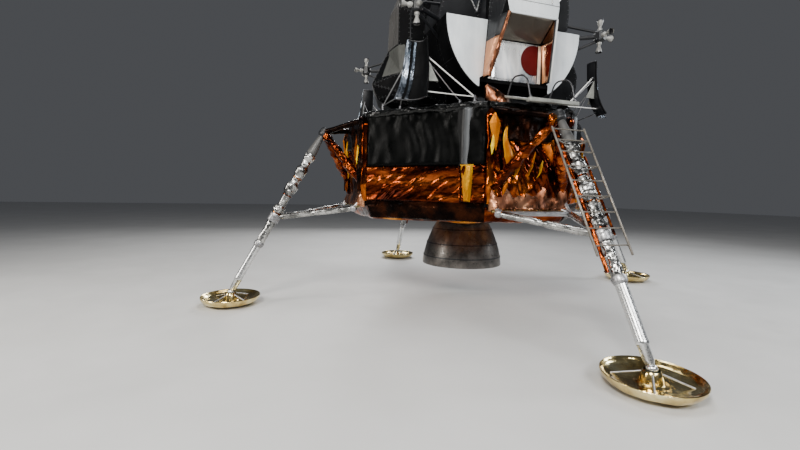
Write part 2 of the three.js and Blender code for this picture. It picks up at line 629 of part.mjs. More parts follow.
function fairings() {
  const eva = [pole(1000, -250, 2150, 3770, 14),
    cone(v3(1000, -250, deckZ + 3700), v3(1000, -250, deckZ + 3830), 90, 14)];
  const vhf = [pole(1300, 350, 2000, 2900, 16), ball(v3(1300, 350, deckZ + 2900), 45)];
  const dishMast = [pole(-1100, -100, 2150, dishSite.z - deckZ, 60)];
  return [
    tankFairing('tank_fairing_port', 1, portOutlines, [...eva, ...vhf]),
    tankFairing('tank_fairing_starboard', -1, starboardOutlines, dishMast),
  ];
}

// Thruster clusters: a housing with four nozzles (up, down and two level), on a boom to the ascent stage

function thrusterQuad(name, sx, sy) {
  const { offset, z, bodyHalf, bodyRadius, boomRadius, braceRadius, chamber, throat, exit } = quad;
  const centre = v3(sx * offset, sy * offset, z);
  const nozzle = (direction) => spun(centre, centre.clone().add(direction), [
    [chamber.start, 0], [chamber.start, chamber.radius], [chamber.end, chamber.radius],
    [throat.at, throat.radius], [exit.at, exit.radius], [exit.at - exit.hollow, 0],
  ], 8);
  const nozzles = [v3(0, 0, 1), v3(0, 0, -1), v3(sx, 0, 0), v3(0, sy, 0)].map(nozzle);
  const at = (point, height) => point.clone().setZ(z + height);
  const housing = tube(at(centre, -bodyHalf), at(centre, bodyHalf), bodyRadius, 8);
  const root = sy < 0 ? v3(sx * 1000, -1200, z) : v3(sx * (aft.half - 60), 1400, z);
  const booms = [
    tube(centre, root, boomRadius),
    tube(at(centre, -60), at(root, -330), braceRadius, 6),
    tube(at(centre, 60), at(root, 280), braceRadius, 6),
  ];
  const carrier = sy < 0 ? drum(cabin.radius + seam, cabin.frontY - 300, cabin.rearY)
    : box(-aft.half - seam, aft.half + seam, 0, aft.rearY, aft.baseZ, aft.topZ);
  return part(name, join(...nozzles, housing, cut(join(...booms), carrier)), silverPanel);
}

// Steerable dishes: a yoke that turns on its mast, and a dish that tilts between the yoke's arms

function yoke(name, site) {
  const { x, y, z, arm, axisRise } = site;
  const { pinRadius, armHalf, barHalf } = dishDrive;
  const base = tube(v3(x, y, z + seam), v3(x, y, z + 40), 75, 16);
  const bar = box(x - arm - armHalf, x + arm + armHalf, y - barHalf, y + barHalf, z + 40, z + 80);
  const uprights = [1, -1].map((s) => cut(
    box(x + s * arm - armHalf, x + s * arm + armHalf, y - barHalf, y + barHalf, z + 60, z + axisRise + 40),
    tube(v3(x + s * arm - 60, y, z + axisRise), v3(x + s * arm + 60, y, z + axisRise),
      boreRadius(pinRadius), 12)));
  const platform = tube(v3(x, y, z + 30), v3(x, y, z + 50), 70, 16);
  return part(name, join(base, platform, bar, ...uprights), aluminium);
}

function dish(name, site) {
  const { x, y, z, arm, axisRise, radius } = site;
  const { pinRadius, armHalf, hubRadius } = dishDrive;
  const axisZ = z + axisRise;
  const depth = radius * 0.32;
  const skin = 14;
  const back = v3(x, y - 20, axisZ);
  const front = back.clone().add(v3(0, -1, 0));
  const shell = spun(back, front, [
    [0, 0], [depth / 4, radius / 2], [depth, radius],
    [depth + skin, radius - 4], [depth / 4 + skin, radius / 2 - 4], [skin, 0],
  ], 20);
  const hub = tube(v3(x, y + 70, axisZ), v3(x, y - 30, axisZ), hubRadius, 12);
  const reach = arm + armHalf - 2;
  const pins = tube(v3(x - reach, y, axisZ), v3(x + reach, y, axisZ), pinRadius, 12);
  const feed = join(
    cone(v3(x, y - 20, axisZ), v3(x, y - 20 - radius * 0.75, axisZ), 28, 12, 10),
    cone(v3(x, y - 20 - radius * 0.72, axisZ), v3(x, y - 20 - radius * 0.85, axisZ), 20, 55, 12));
  return part(name, join(shell, hub, pins, feed), silverPanel);
}

const radarSite = { x: 0, y: -1200, z: cabin.z + cabin.radius + 200, arm: 340, axisRise: 430, radius: 305 };
const dishSite = { x: -1100, y: -100, z: deckZ + 2750, arm: 365, axisRise: 460, radius: 330 };

// Assembly

const lander = new THREE.Group();
lander.add(descentStage(), gimbalRing(), descentEngine());

const legs = [['fore', 0], ['port', 90], ['aft', 180], ['starboard', 270]];
legs.forEach(([side, degrees]) => {
  const leg = new THREE.Group();
  leg.rotation.z = THREE.MathUtils.degToRad(degrees);
  leg.add(outrigger(`outrigger_${side}`), primaryStrut(`primary_strut_${side}`),
    secondaryStruts(`secondary_struts_${side}`), footpad(`footpad_${side}`));
  if (side === 'fore') leg.add(ladderFrame());
  lander.add(leg);
});
lander.add(porchPlatform());

// Corners of the vehicle: columns are name, side signs in X and Y, and the turn from -Y
const corners = [['fore_port', 1, -1, 45], ['aft_port', 1, 1, 135], ['aft_starboard', -1, 1, 225],
  ['fore_starboard', -1, -1, 315]];
corners.forEach(([corner, sx, sy, degrees]) => {
  const bay = new THREE.Group();
  bay.rotation.z = THREE.MathUtils.degToRad(degrees);
  bay.add(plumeDeflector(`plume_deflector_${corner}`));
  lander.add(bay, thrusterQuad(`thruster_quad_${corner}`, sx, sy));
});

lander.add(crewCabin(), frontBulkhead(), cabinWindow('window_port', 1), cabinWindow('window_starboard', -1));
lander.add(frontHatch(), noseShroud(), midsection(), overheadHatch(), dockingRing(), aftBay());
lander.add(...fairings());
lander.add(yoke('radar_yoke', radarSite), dish('radar_dish', radarSite));
lander.add(yoke('antenna_yoke', dishSite), dish('antenna_dish', dishSite));

export default lander;
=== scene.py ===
"""Looks of a crewed lunar lander: crumpled foils, black blankets, silver skins and small hardware.

Metres, +Z up, origin on the ground under the centre, front towards -Y, port towards +X.
"""

import math

import bmesh
import bpy
import numpy as np
from mathutils import Matrix, Vector
from mathutils.bvhtree import BVHTree


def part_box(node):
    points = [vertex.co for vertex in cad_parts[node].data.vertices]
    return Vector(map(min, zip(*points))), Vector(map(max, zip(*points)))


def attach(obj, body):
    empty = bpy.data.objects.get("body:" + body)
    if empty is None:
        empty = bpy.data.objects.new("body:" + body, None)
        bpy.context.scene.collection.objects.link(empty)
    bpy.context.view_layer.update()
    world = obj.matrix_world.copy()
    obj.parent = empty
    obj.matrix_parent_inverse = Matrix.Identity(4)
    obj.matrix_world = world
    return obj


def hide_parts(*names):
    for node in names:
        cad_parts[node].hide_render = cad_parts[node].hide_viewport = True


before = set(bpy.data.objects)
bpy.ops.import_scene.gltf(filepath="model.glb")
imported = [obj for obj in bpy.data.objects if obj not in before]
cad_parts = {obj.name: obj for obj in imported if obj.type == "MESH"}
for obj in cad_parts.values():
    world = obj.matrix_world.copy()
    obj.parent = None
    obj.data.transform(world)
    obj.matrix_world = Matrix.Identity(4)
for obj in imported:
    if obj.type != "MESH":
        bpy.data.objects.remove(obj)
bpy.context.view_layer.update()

# Descent stage, an octagon: heights of its foot and deck; distance out and half the width of the faces that
# carry legs (FACE) and of the slanted ones (DIAGONAL)
BASE, DECK = (corner.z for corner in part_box("descent_stage"))
FACE_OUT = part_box("descent_stage")[1].x
FACE_HALF = 0.70
BEVEL_TOP = BASE + 0.22
DIAGONAL_OUT = (FACE_OUT + FACE_HALF) / math.sqrt(2)
DIAGONAL_HALF = (FACE_OUT - FACE_HALF) * math.sqrt(2) / 2
# Cabin, a drum that lies along Y: its front, its radius, and its axis over the deck and over the ground
CABIN_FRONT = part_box("front_bulkhead")[0].y
CABIN_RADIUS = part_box("crew_cabin")[1].x
CABIN_RISE = 1.352
CABIN_Z = DECK + CABIN_RISE
LEG_SIDES = {"fore": 0, "port": 90, "aft": 180, "starboard": 270}
# Slanted corners of the octagon: heading in degrees, signs of x and y
CORNERS = {"fore_port": (45, 1, -1), "aft_port": (135, 1, 1), "aft_starboard": (225, -1, 1),
           "fore_starboard": (315, -1, -1)}


# Camera: a pinhole matched to the photograph's frame of 800 by 450 pixels

SENSOR_MM = 36.0
PHOTO_WIDTH = 800
FOCAL_PX = 400.0
HORIZON_ABOVE_CENTRE_PX = 30.37
EYE = Vector((-3.573, -7.148, DECK - 1.271))
YAW = math.radians(17.713)
ROLL = math.radians(1.033)


def add_camera():
    data = bpy.data.cameras.new("camera")
    data.sensor_width = SENSOR_MM
    data.lens = SENSOR_MM * FOCAL_PX / PHOTO_WIDTH
    data.clip_end = 200.0
    camera = bpy.data.objects.new("camera", data)
    pitch = -math.atan(HORIZON_ABOVE_CENTRE_PX / FOCAL_PX)
    ahead = Vector((math.sin(YAW) * math.cos(pitch), math.cos(YAW) * math.cos(pitch), math.sin(pitch)))
    level = Vector((math.cos(YAW), -math.sin(YAW), 0.0))
    above = level.cross(ahead)
    right = level * math.cos(ROLL) + above * math.sin(ROLL)
    top = above * math.cos(ROLL) - level * math.sin(ROLL)
    camera.matrix_world = Matrix.Translation(EYE) @ Matrix((right, top, -ahead)).transposed().to_4x4()
    bpy.context.scene.collection.objects.link(camera)
    bpy.context.scene.camera = camera


# Studio: pale floor, soft area lights and an even, dim surround. Columns: place, target, size, power, colour
LIGHTS = {
    "key": ((-7.5, -9.0, 9.0), (0, 0, 3.2), (3.5, 2.5), 1500, (1.0, 0.97, 0.92)),
    "front": ((1.0, -12.5, 7.5), (0, 0, 4.0), (6.0, 1.6), 800, (1.0, 1.0, 1.0)),
    "left": ((-12.0, -1.0, 5.5), (0, 0, 3.4), (2.0, 4.0), 520, (1.0, 0.96, 0.9)),
    "side": ((11.5, -4.0, 7.0), (0, 0, 3.0), (3.0, 4.0), 700, (0.92, 0.96, 1.0)),
    "back": ((2.0, 11.5, 8.0), (0, 0, 3.5), (6.0, 3.0), 1100, (1.0, 1.0, 1.0)),
    "top": ((0.0, 0.0, 13.0), (0, 0, 3.0), (5.0, 5.0), 700, (1.0, 1.0, 1.0)),
}
SURROUND = (0.075, 0.078, 0.085, 1)
FLOOR_REACH = 60.0


def add_studio():
    world = bpy.data.worlds.new("surround")
    world.use_nodes = True
    world.node_tree.nodes["Background"].inputs["Color"].default_value = SURROUND
    world.node_tree.nodes["Background"].inputs["Strength"].default_value = 1.0
    bpy.context.scene.world = world
    for name, (place, target, size, power, colour) in LIGHTS.items():
        data = bpy.data.lights.new(name, "AREA")
        data.shape = "RECTANGLE"
        data.size, data.size_y = size
        data.energy = power
        data.color = colour
        light = bpy.data.objects.new(name, data)
        light.location = place
        light.rotation_euler = (Vector(target) - Vector(place)).to_track_quat("-Z", "Y").to_euler()
        bpy.context.scene.collection.objects.link(light)


def add_floor():
    look = Look("floor")
    look.colour(look.ramp(look.noise(0.6, 3.0), (0.3, (0.60, 0.60, 0.59)), (0.7, (0.66, 0.66, 0.65))))
    look.roughness(look.level(look.noise(3.0, 3.0), 0.45, 0.6))
    mesh = bpy.data.meshes.new("floor")
    corners = [(x * FLOOR_REACH, y * FLOOR_REACH, 0) for x, y in ((-1, -1), (1, -1), (1, 1), (-1, 1))]
    mesh.from_pydata(corners, [], [(0, 1, 2, 3)])
    mesh.materials.append(LOOKS["floor"])
    made = bpy.data.objects.new("floor", mesh)
    bpy.context.scene.collection.objects.link(made)


# Materials: each is a principled surface with procedural colour, roughness and bump

LOOKS = {}


class Look:
    """Builds one material and lists it by name. Coordinates are the piece's own, in metres."""

    def __init__(self, name, metallic=0.0, **fixed):
        LOOKS[name] = bpy.data.materials.new(name)
        LOOKS[name].use_nodes = True
        self.tree = LOOKS[name].node_tree
        self.surface = self.tree.nodes["Principled BSDF"]
        self.surface.inputs["Metallic"].default_value = metallic
        for socket, value in fixed.items():
            self.surface.inputs[socket.replace("_", " ")].default_value = value
        self.coords = self.node("ShaderNodeTexCoord").outputs["Object"]

    def node(self, kind, **inputs):
        node = self.tree.nodes.new(kind)
        for socket, value in inputs.items():
            self.feed(node.inputs[socket.replace("_", " ")], value)
        return node

    def feed(self, socket, value):
        if isinstance(value, bpy.types.NodeSocket):
            self.tree.links.new(value, socket)
        else:
            socket.default_value = value

    def stretched(self, stretch):
        return self.node("ShaderNodeMapping", Vector=self.coords, Scale=stretch).outputs["Vector"]

    def noise(self, scale, detail, rough=0.55, stretch=(1, 1, 1), distortion=0.0):
        return self.node("ShaderNodeTexNoise", Vector=self.stretched(stretch), Scale=scale, Detail=detail,
                         Roughness=rough, Distortion=distortion).outputs["Fac"]

    def cells(self, scale, stretch):
        node = self.node("ShaderNodeTexVoronoi", Vector=self.stretched(stretch), Scale=scale)
        node.feature = "DISTANCE_TO_EDGE"
        return node.outputs["Distance"]

    def ramp(self, factor, *stops):
        node = self.node("ShaderNodeValToRGB", Fac=factor)
        while len(node.color_ramp.elements) < len(stops):
            node.color_ramp.elements.new(0.5)
        for element, (position, colour) in zip(node.color_ramp.elements, stops):
            element.position = position
            element.color = (*colour, 1)
        return node.outputs["Color"]

    def level(self, factor, low, high):
        """Low where the factor is 0.3, high where it is 0.7: noise lies mostly between the two."""
        return self.node("ShaderNodeMapRange", Value=factor, From_Min=0.3, From_Max=0.7, To_Min=low,
                         To_Max=high).outputs["Result"]

    def maths(self, operation, a, b):
        node = self.node("ShaderNodeMath")
        node.operation = operation
        self.feed(node.inputs[0], a)
        self.feed(node.inputs[1], b)
        return node.outputs["Value"]

    def colour(self, value):
        self.feed(self.surface.inputs["Base Color"], value)

    def roughness(self, value):
        self.feed(self.surface.inputs["Roughness"], value)

    def bump(self, height, distance, strength):
        node = self.node("ShaderNodeBump", Height=height, Distance=distance, Strength=strength)
        previous = self.surface.inputs["Normal"].links
        if previous:
            self.tree.links.new(previous[0].from_socket, node.inputs["Normal"])
        self.tree.links.new(node.outputs["Normal"], self.surface.inputs["Normal"])


def foil_look(name, dark, middle, bright, rough=0.16, stretch=(1, 1, 1), crease=0.45, metallic=1.0, gloss=0.5,
              coat=0.0):
    """Metallised film: colour in broad patches from near black to bright, painted shade and painted highlight
    in place of the film's dark and bright reflections; fine creases in the bump.
    """
    look = Look(name, metallic, Coat_Weight=coat, Coat_Roughness=0.08, Specular_IOR_Level=gloss)
    # Painted shade and painted highlight: the ramp's dark and bright patches stand in for reflections, not
    # for the film's own tone.
    look.colour(look.ramp(look.noise(3.0, 4.0, 0.6, stretch), (0.38, dark), (0.50, middle), (0.66, bright)))
    look.roughness(look.level(look.noise(11.0, 3.0, 0.6, stretch), rough * 0.6, rough * 1.7))
    look.bump(look.noise(9.0, 3.0, 0.5, stretch, 0.8), 0.008, crease * 0.8)
    look.bump(look.cells(34.0, stretch), 0.0016, crease)


def blanket_look(name, dark, light, rough, specular):
    look = Look(name, Specular_IOR_Level=specular)
    look.colour(look.ramp(look.noise(2.0, 6.0, 0.6), (0.3, dark), (0.7, light)))
    look.roughness(look.level(look.noise(6.0, 4.0), rough * 0.75, rough * 1.3))
    look.bump(look.noise(4.0, 4.0, 0.5, (1, 1, 0.5), 0.5), 0.015, 0.4)
    look.bump(look.noise(420.0, 2.0), 0.0004, 0.3)


def skin_look(name, dark, light, rough, metallic, streak=0.5):
    """Painted or anodised sheet: streaks and clouds mixed by streak, with the finest of brushing."""
    look = Look(name, metallic)
    streaks = look.noise(6.0, 6.0, 0.6, (1.0, 1.0, 0.22))
    clouds = look.noise(1.8, 4.0, 0.5)
    mixed = look.maths("ADD", look.maths("MULTIPLY", streaks, streak),
                       look.maths("MULTIPLY", clouds, 1 - streak))
    look.colour(look.ramp(mixed, (0.32, dark), (0.66, light)))
    look.roughness(look.level(look.noise(30.0, 4.0, 0.6, (1, 1, 0.2)), rough * 0.75, rough * 1.3))
    look.bump(look.noise(1.6, 3.0, 0.5), 0.02, 0.3)
    look.bump(look.noise(260.0, 2.0, 0.6, (1, 1, 0.06)), 0.0002, 0.25)


def polished_look(name, dark, light, rough, dents):
    look = Look(name, 1.0)
    look.colour(look.ramp(look.noise(2.2, 3.0, 0.5), (0.3, dark), (0.7, light)))
    look.roughness(look.level(look.noise(12.0, 3.0), rough * 0.5, rough * 1.8))
    look.bump(look.noise(9.0, 2.0, 0.5), 0.004, dents)


def metal_look(name, dark, light, rough=0.38, metallic=0.9):
    look = Look(name, metallic)
    look.colour(look.ramp(look.noise(7.0, 5.0, 0.6), (0.3, dark), (0.7, light)))
    look.roughness(look.level(look.noise(40.0, 3.0), rough * 0.7, rough * 1.4))
    look.bump(look.noise(120.0, 3.0), 0.0006, 0.5)


def hatch_look(name):
    """Bright polished sheet whose broad upright reflections, the kind that soft dents give, are painted into
    its colour as pale and dark bands.
    """
    look = Look(name, 0.75)
    # Painted reflection: upright bands of pale and dark grey in the colour.
    bands = look.noise(2.6, 2.0, 0.4, (1.0, 1.0, 0.30), 0.9)
    look.colour(look.ramp(bands, (0.36, (0.36, 0.40, 0.45)), (0.46, (0.62, 0.65, 0.68)),
                          (0.54, (0.92, 0.92, 0.90)), (0.66, (0.62, 0.63, 0.63))))
    look.roughness(look.level(look.noise(5.0, 3.0, 0.5, (1, 1, 0.4)), 0.2, 0.38))
    look.bump(look.noise(3.0, 2.0, 0.5, (1, 1, 0.4)), 0.004, 0.15)


def ridge_highlight_look(name):
    """A black fold with a painted highlight: grey down its middle, with painted shade darkening it back to
    black towards both of its edges.
    """
    look = Look(name, 0.2)
    across = look.node("ShaderNodeSeparateXYZ", Vector=look.node("ShaderNodeTexCoord").outputs["Generated"])
    ragged = look.level(look.noise(5.0, 3.0, 0.5, (1, 1, 0.4)), -0.08, 0.08)
    share = look.maths("ADD", across.outputs["X"], ragged)
    # Painted highlight: the grey and pale stops stand for the light the rounded fold catches.
    black, grey, pale = (0.002, 0.0022, 0.0025), (0.040, 0.043, 0.047), (0.105, 0.11, 0.115)
    look.colour(look.ramp(share, (0.12, black), (0.36, grey), (0.56, pale), (0.72, grey), (0.92, black)))
    look.roughness(look.level(look.noise(6.0, 4.0), 0.35, 0.6))
    look.bump(look.noise(4.0, 4.0, 0.5, (1, 1, 0.3), 0.5), 0.01, 0.3)


def glass_look(name):
    look = Look(name, Coat_Weight=1.0, Coat_Roughness=0.02, IOR=1.5)
    look.colour(look.ramp(look.noise(1.5, 2.0), (0.3, (0.012, 0.014, 0.018)), (0.7, (0.03, 0.034, 0.04))))
    look.roughness(look.level(look.noise(20.0, 3.0), 0.03, 0.09))


# Columns: name, darkest and lightest colour (and the middle one of a foil), then the finish
UPRIGHT = (1, 1, 0.25)
foil_look("amber_foil", (0.05, 0.008, 0.002), (0.26, 0.060, 0.006), (0.85, 0.33, 0.04))
foil_look("amber_drape", (0.030, 0.004, 0.001), (0.18, 0.026, 0.003), (0.85, 0.22, 0.025), 0.15,
          (1, 1, 0.35), 0.3)
# The orange and yellow foils are lit copies of the amber film, nearly matt and bright: painted highlights.
foil_look("orange_foil_painted_highlight", (0.10, 0.018, 0.001), (0.34, 0.085, 0.002), (0.55, 0.19, 0.004), 0.3, UPRIGHT, 0.5,
          0.25, 0.05)
foil_look("yellow_foil_painted_highlight", (0.34, 0.095, 0.002), (0.58, 0.29, 0.004), (0.80, 0.56, 0.02), 0.3, UPRIGHT, 0.5,
          0.15, 0.05)
foil_look("rust_foil", (0.022, 0.004, 0.002), (0.12, 0.019, 0.004), (0.44, 0.10, 0.018), 0.2,
          (0.5, 0.5, 2.0), 0.5)
foil_look("copper_foil", (0.07, 0.022, 0.010), (0.42, 0.16, 0.08), (0.82, 0.43, 0.24), 0.26, (1, 1, 0.4), 0.2)
foil_look("gold_foil", (0.42, 0.29, 0.09), (0.75, 0.58, 0.24), (0.95, 0.85, 0.5), coat=0.25)
foil_look("silver_foil", (0.10, 0.10, 0.10), (0.30, 0.30, 0.29), (0.66, 0.66, 0.64), 0.24, crease=0.35)
foil_look("blue_foil", (0.04, 0.05, 0.062), (0.15, 0.17, 0.20), (0.38, 0.41, 0.45), 0.26, crease=0.3)
# Brown film darkened almost to black: partly its own colour, partly painted shade where it lies in shadow.
foil_look("brown_foil", (0.002, 0.001, 0.001), (0.006, 0.0025, 0.0015), (0.030, 0.008, 0.003), 0.26,
          metallic=0.7, gloss=0.04)
blanket_look("black_blanket", (0.0012, 0.0013, 0.0015), (0.003, 0.0032, 0.0038), 0.6, 0.06)
blanket_look("black_gloss", (0.0004, 0.0005, 0.0005), (0.0014, 0.0016, 0.0016), 0.36, 0.055)
blanket_look("hem_gloss", (0.0008, 0.0010, 0.0010), (0.003, 0.0033, 0.0033), 0.26, 0.35)
blanket_look("red_disc", (0.065, 0.003, 0.003), (0.090, 0.004, 0.004), 0.6, 0.08)
skin_look("white_skin", (0.52, 0.57, 0.60), (0.82, 0.86, 0.875), 0.46, 0.12, 0.45)
skin_look("pale_skin", (0.24, 0.245, 0.25), (0.40, 0.405, 0.41), 0.42, 0.4)
skin_look("panel_grey", (0.036, 0.038, 0.034), (0.062, 0.064, 0.058), 0.65, 0.0)
skin_look("fairing_grey", (0.030, 0.029, 0.028), (0.060, 0.058, 0.056), 0.65, 0.0)
skin_look("grey_skin", (0.045, 0.045, 0.044), (0.095, 0.093, 0.09), 0.46, 0.2)
skin_look("dark_skin", (0.005, 0.0055, 0.0065), (0.013, 0.014, 0.017), 0.42, 0.2)
skin_look("cream_mirror", (0.74, 0.66, 0.56), (0.95, 0.90, 0.82), 0.3, 0.4, 0.8)
skin_look("brown_mirror", (0.15, 0.135, 0.11), (0.24, 0.215, 0.18), 0.2, 0.55)
skin_look("copper_panel", (0.42, 0.17, 0.075), (0.72, 0.36, 0.20), 0.32, 0.75, 0.7)
polished_look("copper_mirror", (0.62, 0.27, 0.12), (0.90, 0.47, 0.26), 0.11, 0.05)
metal_look("bare_metal", (0.26, 0.26, 0.27), (0.46, 0.46, 0.47))
metal_look("ladder_metal", (0.11, 0.098, 0.082), (0.27, 0.245, 0.21), 0.42, 0.6)
metal_look("dark_metal", (0.045, 0.046, 0.05), (0.10, 0.10, 0.105))
metal_look("white_paint", (0.62, 0.62, 0.6), (0.82, 0.82, 0.8), 0.5, 0.0)
metal_look("porch_paint", (0.14, 0.145, 0.135), (0.30, 0.31, 0.28), 0.5, 0.1)
metal_look("bell_metal", (0.22, 0.22, 0.21), (0.42, 0.42, 0.40), 0.45, 0.3)
metal_look("nozzle_metal", (0.10, 0.095, 0.09), (0.24, 0.22, 0.20), 0.34, 0.9)
metal_look("bright_metal", (0.62, 0.63, 0.63), (0.85, 0.86, 0.86), 0.25, 0.95)
hatch_look("mirror")
ridge_highlight_look("ridge_painted_highlight")
glass_look("window_glass")

# The look of each CAD node that stays in view, by its name or by how its name starts
NODE_LOOKS = {
    "descent_stage": "black_blanket", "engine_gimbal_ring": "bare_metal", "crew_cabin": "dark_skin",
    "front_bulkhead": "black_blanket", "midsection": "dark_skin", "aft_bay": "dark_skin",
    "docking_ring": "bare_metal", "tank_fairing": "dark_skin", "nose_shroud": "black_blanket",
    "window": "window_glass", "overhead_hatch": "bright_metal", "radar_yoke": "bare_metal",
    "antenna_yoke": "bare_metal", "descent_engine": "nozzle_metal", "front_hatch": "mirror",
    "ladder": "ladder_metal", "porch": "bright_metal", "radar_dish": "white_paint",
    "antenna_dish": "white_paint", "outrigger": "amber_foil", "primary_strut": "silver_foil",
    "secondary_struts": "silver_foil", "footpad": "gold_foil", "plume_deflector": "black_blanket",
    "thruster_quad": "dark_skin",
}
# CAD nodes that stay in view with their edges rounded: the width of the rounding
SOFTENED = {
    "midsection": 0.004, "aft_bay": 0.008, "radar_yoke": 0.005, "antenna_yoke": 0.005,
    "engine_gimbal_ring": 0.006, "front_hatch": 0.004,
}


def dress_nodes():
    for name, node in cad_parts.items():
        look = next(look for start, look in NODE_LOOKS.items() if name.startswith(start))
        node.data.materials.clear()
        node.data.materials.append(LOOKS[look])
        if name in SOFTENED:
            bevel = node.modifiers.new("rounded_edges", "BEVEL")
            bevel.width = SOFTENED[name]
            bevel.segments = 2
            bevel.angle_limit = math.radians(35)


# Small helpers for places

def up(z):
    return Vector((0, 0, z))


def spoke(angle, upright=False):
    """A unit vector at an angle, level or in the plane of X and Z."""
    return Vector((math.cos(angle), 0, math.sin(angle)) if upright else (math.cos(angle), math.sin(angle), 0))


def angles(count, shift=0.0):
    return [2 * math.pi * (k + shift) / count for k in range(count)]


def turner(degrees):
    """A function that turns points about the upright axis."""
    turn = Matrix.Rotation(math.radians(degrees), 4, "Z")
    return lambda *points: [turn @ Vector(p) for p in points]


# Making mesh objects. smooth is the largest angle in degrees that is shaded over

def link(mesh, look, body, smooth, name):
    mesh.materials.append(LOOKS[look])
    mesh.shade_smooth()
    mesh.set_sharp_from_angle(angle=math.radians(smooth))
    made = bpy.data.objects.new(name, mesh)
    bpy.context.scene.collection.objects.link(made)
    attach(made, body)
    return made


def piece(vertices, faces, look, body, smooth, name="part"):
    mesh = bpy.data.meshes.new(name)
    mesh.from_pydata([tuple(v) for v in vertices], [], faces)
    mesh.validate()
    return link(mesh, look, body, smooth, name)


def bmesh_piece(work, look, body, smooth, name="part"):
    mesh = bpy.data.meshes.new(name)
    work.to_mesh(mesh)
    work.free()
    return link(mesh, look, body, smooth, name)


def joined(name, pieces, *nodes):
    """Joins pieces that ride on one body into one mesh, which may stand for CAD nodes."""
    for other in bpy.context.selected_objects:
        other.select_set(False)
    for made in pieces:
        made.select_set(True)
    whole = pieces[0]
    bpy.context.view_layer.objects.active = whole
    bpy.ops.object.join()
    whole.name = name
    whole.data.name = name
    if nodes:
        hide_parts(*nodes)


# Heights of crumpled foil and of soft blankets

TABLE_SIDE = 61
TURN = 6.283


def facets(x, y, seed):
    """Heights from 0 to 1 of a surface of flat triangles that are about one unit across."""
    table = np.random.RandomState(seed).rand(TABLE_SIDE, TABLE_SIDE)
    a, b = x - y / math.sqrt(3), 2 * y / math.sqrt(3)
    i, j = np.floor(a).astype(int), np.floor(b).astype(int)
    f, g = a - i, b - j

    def corner(di, dj):
        return table[(i + di) % TABLE_SIDE, (j + dj) % TABLE_SIDE]

    near = (1 - f - g) * corner(0, 0) + f * corner(1, 0) + g * corner(0, 1)
    far = (f + g - 1) * corner(1, 1) + (1 - f) * corner(0, 1) + (1 - g) * corner(1, 0)
    return np.where(f + g < 1, near, far)


def crumpled(depth, size, seed, stretch, turn=0.0, more=None, fine=0.4):
    """A height function for crumpled foil: flat facets at three scales, size across and drawn out by stretch.

    turn is the lean of the folds from the upright in degrees; more(x, y) adds height; fine is the share of
    the two smaller scales."""
    layers = ((1.0 - fine, 1.0, 0.0), (fine * 0.68, 0.48, 14.0), (fine * 0.32, 0.23, -11.0))

    def heights(x, y):
        total = -0.5
        for k, (share, scale, lean) in enumerate(layers):
            heading = math.radians(turn + lean)
            across = x * math.cos(heading) - y * math.sin(heading)
            along = x * math.sin(heading) + y * math.cos(heading)
            step = size * scale
            across = across + 0.35 * step * np.sin(along / (step * stretch) * 1.7 + seed + k)
            along = along + 0.2 * step * np.sin(across / step * 1.3 + 2.0 * seed)
            total = total + share * facets(across / step, along / (step * stretch), seed * 7 + k)
        return depth * total + (more(x, y) if more else 0)

    return heights


def rolling(depth, size, seed, stretch, more=None):
    """A height function for a soft blanket: smooth rounded wrinkles."""
    rng = np.random.RandomState(seed)
    terms = [(rng.uniform(-0.8, 0.8), size * rng.uniform(0.5, 1.6), rng.uniform(0, 6.3)) for _ in range(7)]

    def heights(x, y):
        total = 0
        for k, (heading, length, phase) in enumerate(terms):
            run = x * math.cos(heading) + y * math.sin(heading) / stretch
            sway = 1.1 * np.sin(TURN * y / (size * 2.3) + k)
            total = total + np.sin(TURN * run / length + phase + sway)
        return depth * total / 5 + (more(x, y) if more else 0)

    return heights


# Sheets draped over a surface. surface(u, v) gives points for arrays from 0 to 1, u to the right and v up as
# seen from outside

def grid_faces(across, along, rng, closed):
    """Triangles over a grid of points, with diagonals either way so that no direction shows."""
    faces = []
    row = across if closed else across + 1
    for j in range(along):
        for i in range(across):
            a = j * row + i
            b = j * row + (i + 1) % row
            c, d = b + row, a + row
            faces += [(a, b, c), (a, c, d)] if rng.rand() < 0.5 else [(a, b, d), (b, c, d)]
    return faces


def sheet(surface, look, heights, cell, lift, tuck, seed, closed=False, smooth=28, body="lander",
          name="part"):
    """heights(x, y) is the height over the surface; tuck is the margin over which it comes down to it."""
    rng = np.random.RandomState(seed)
    line, middle = np.linspace(0, 1, 25), np.full(25, 0.5)
    width = np.linalg.norm(np.diff(surface(line, middle), axis=0), axis=1).sum()
    height = np.linalg.norm(np.diff(surface(middle, line), axis=0), axis=1).sum()
    across, along = max(3, round(width / cell)), max(3, round(height / cell))
    columns = across if closed else across + 1
    u, v = (grid.ravel() for grid in np.meshgrid(np.arange(columns) / across, np.arange(along + 1) / along))
    free = (v > 0) & (v < 1)
    if not closed:
        free = free & (u > 0) & (u < 1)
    u = u + free * rng.uniform(-0.3, 0.3, len(u)) / across
    v = v + free * rng.uniform(-0.3, 0.3, len(v)) / along
    step = 1e-3
    normal = np.cross(surface(u + step, v) - surface(u - step, v),
                      surface(u, v + step) - surface(u, v - step))
    normal /= np.linalg.norm(normal, axis=1)[:, None]
    edge = np.minimum(v, 1 - v) * height
    if not closed:
        edge = np.minimum(edge, np.minimum(u, 1 - u) * width)
    fade = np.sqrt(np.clip(edge / tuck, 0, 1))
    high = (lift + (heights(u * width, v * height) if heights else 0)) * fade
    points = surface(u, v) + normal * high[:, None]
    return piece(points, grid_faces(across, along, rng, closed), look, body, smooth, name)


def flat(corners):
    """The surface of the quad of corners: bottom left, bottom right, top right, top left, from outside."""
    a, b, c, d = (np.array(corner, float) for corner in corners)

    def surface(u, v):
        return (np.outer((1 - u) * (1 - v), a) + np.outer(u * (1 - v), b)
                + np.outer(u * v, c) + np.outer((1 - u) * v, d))

    return surface


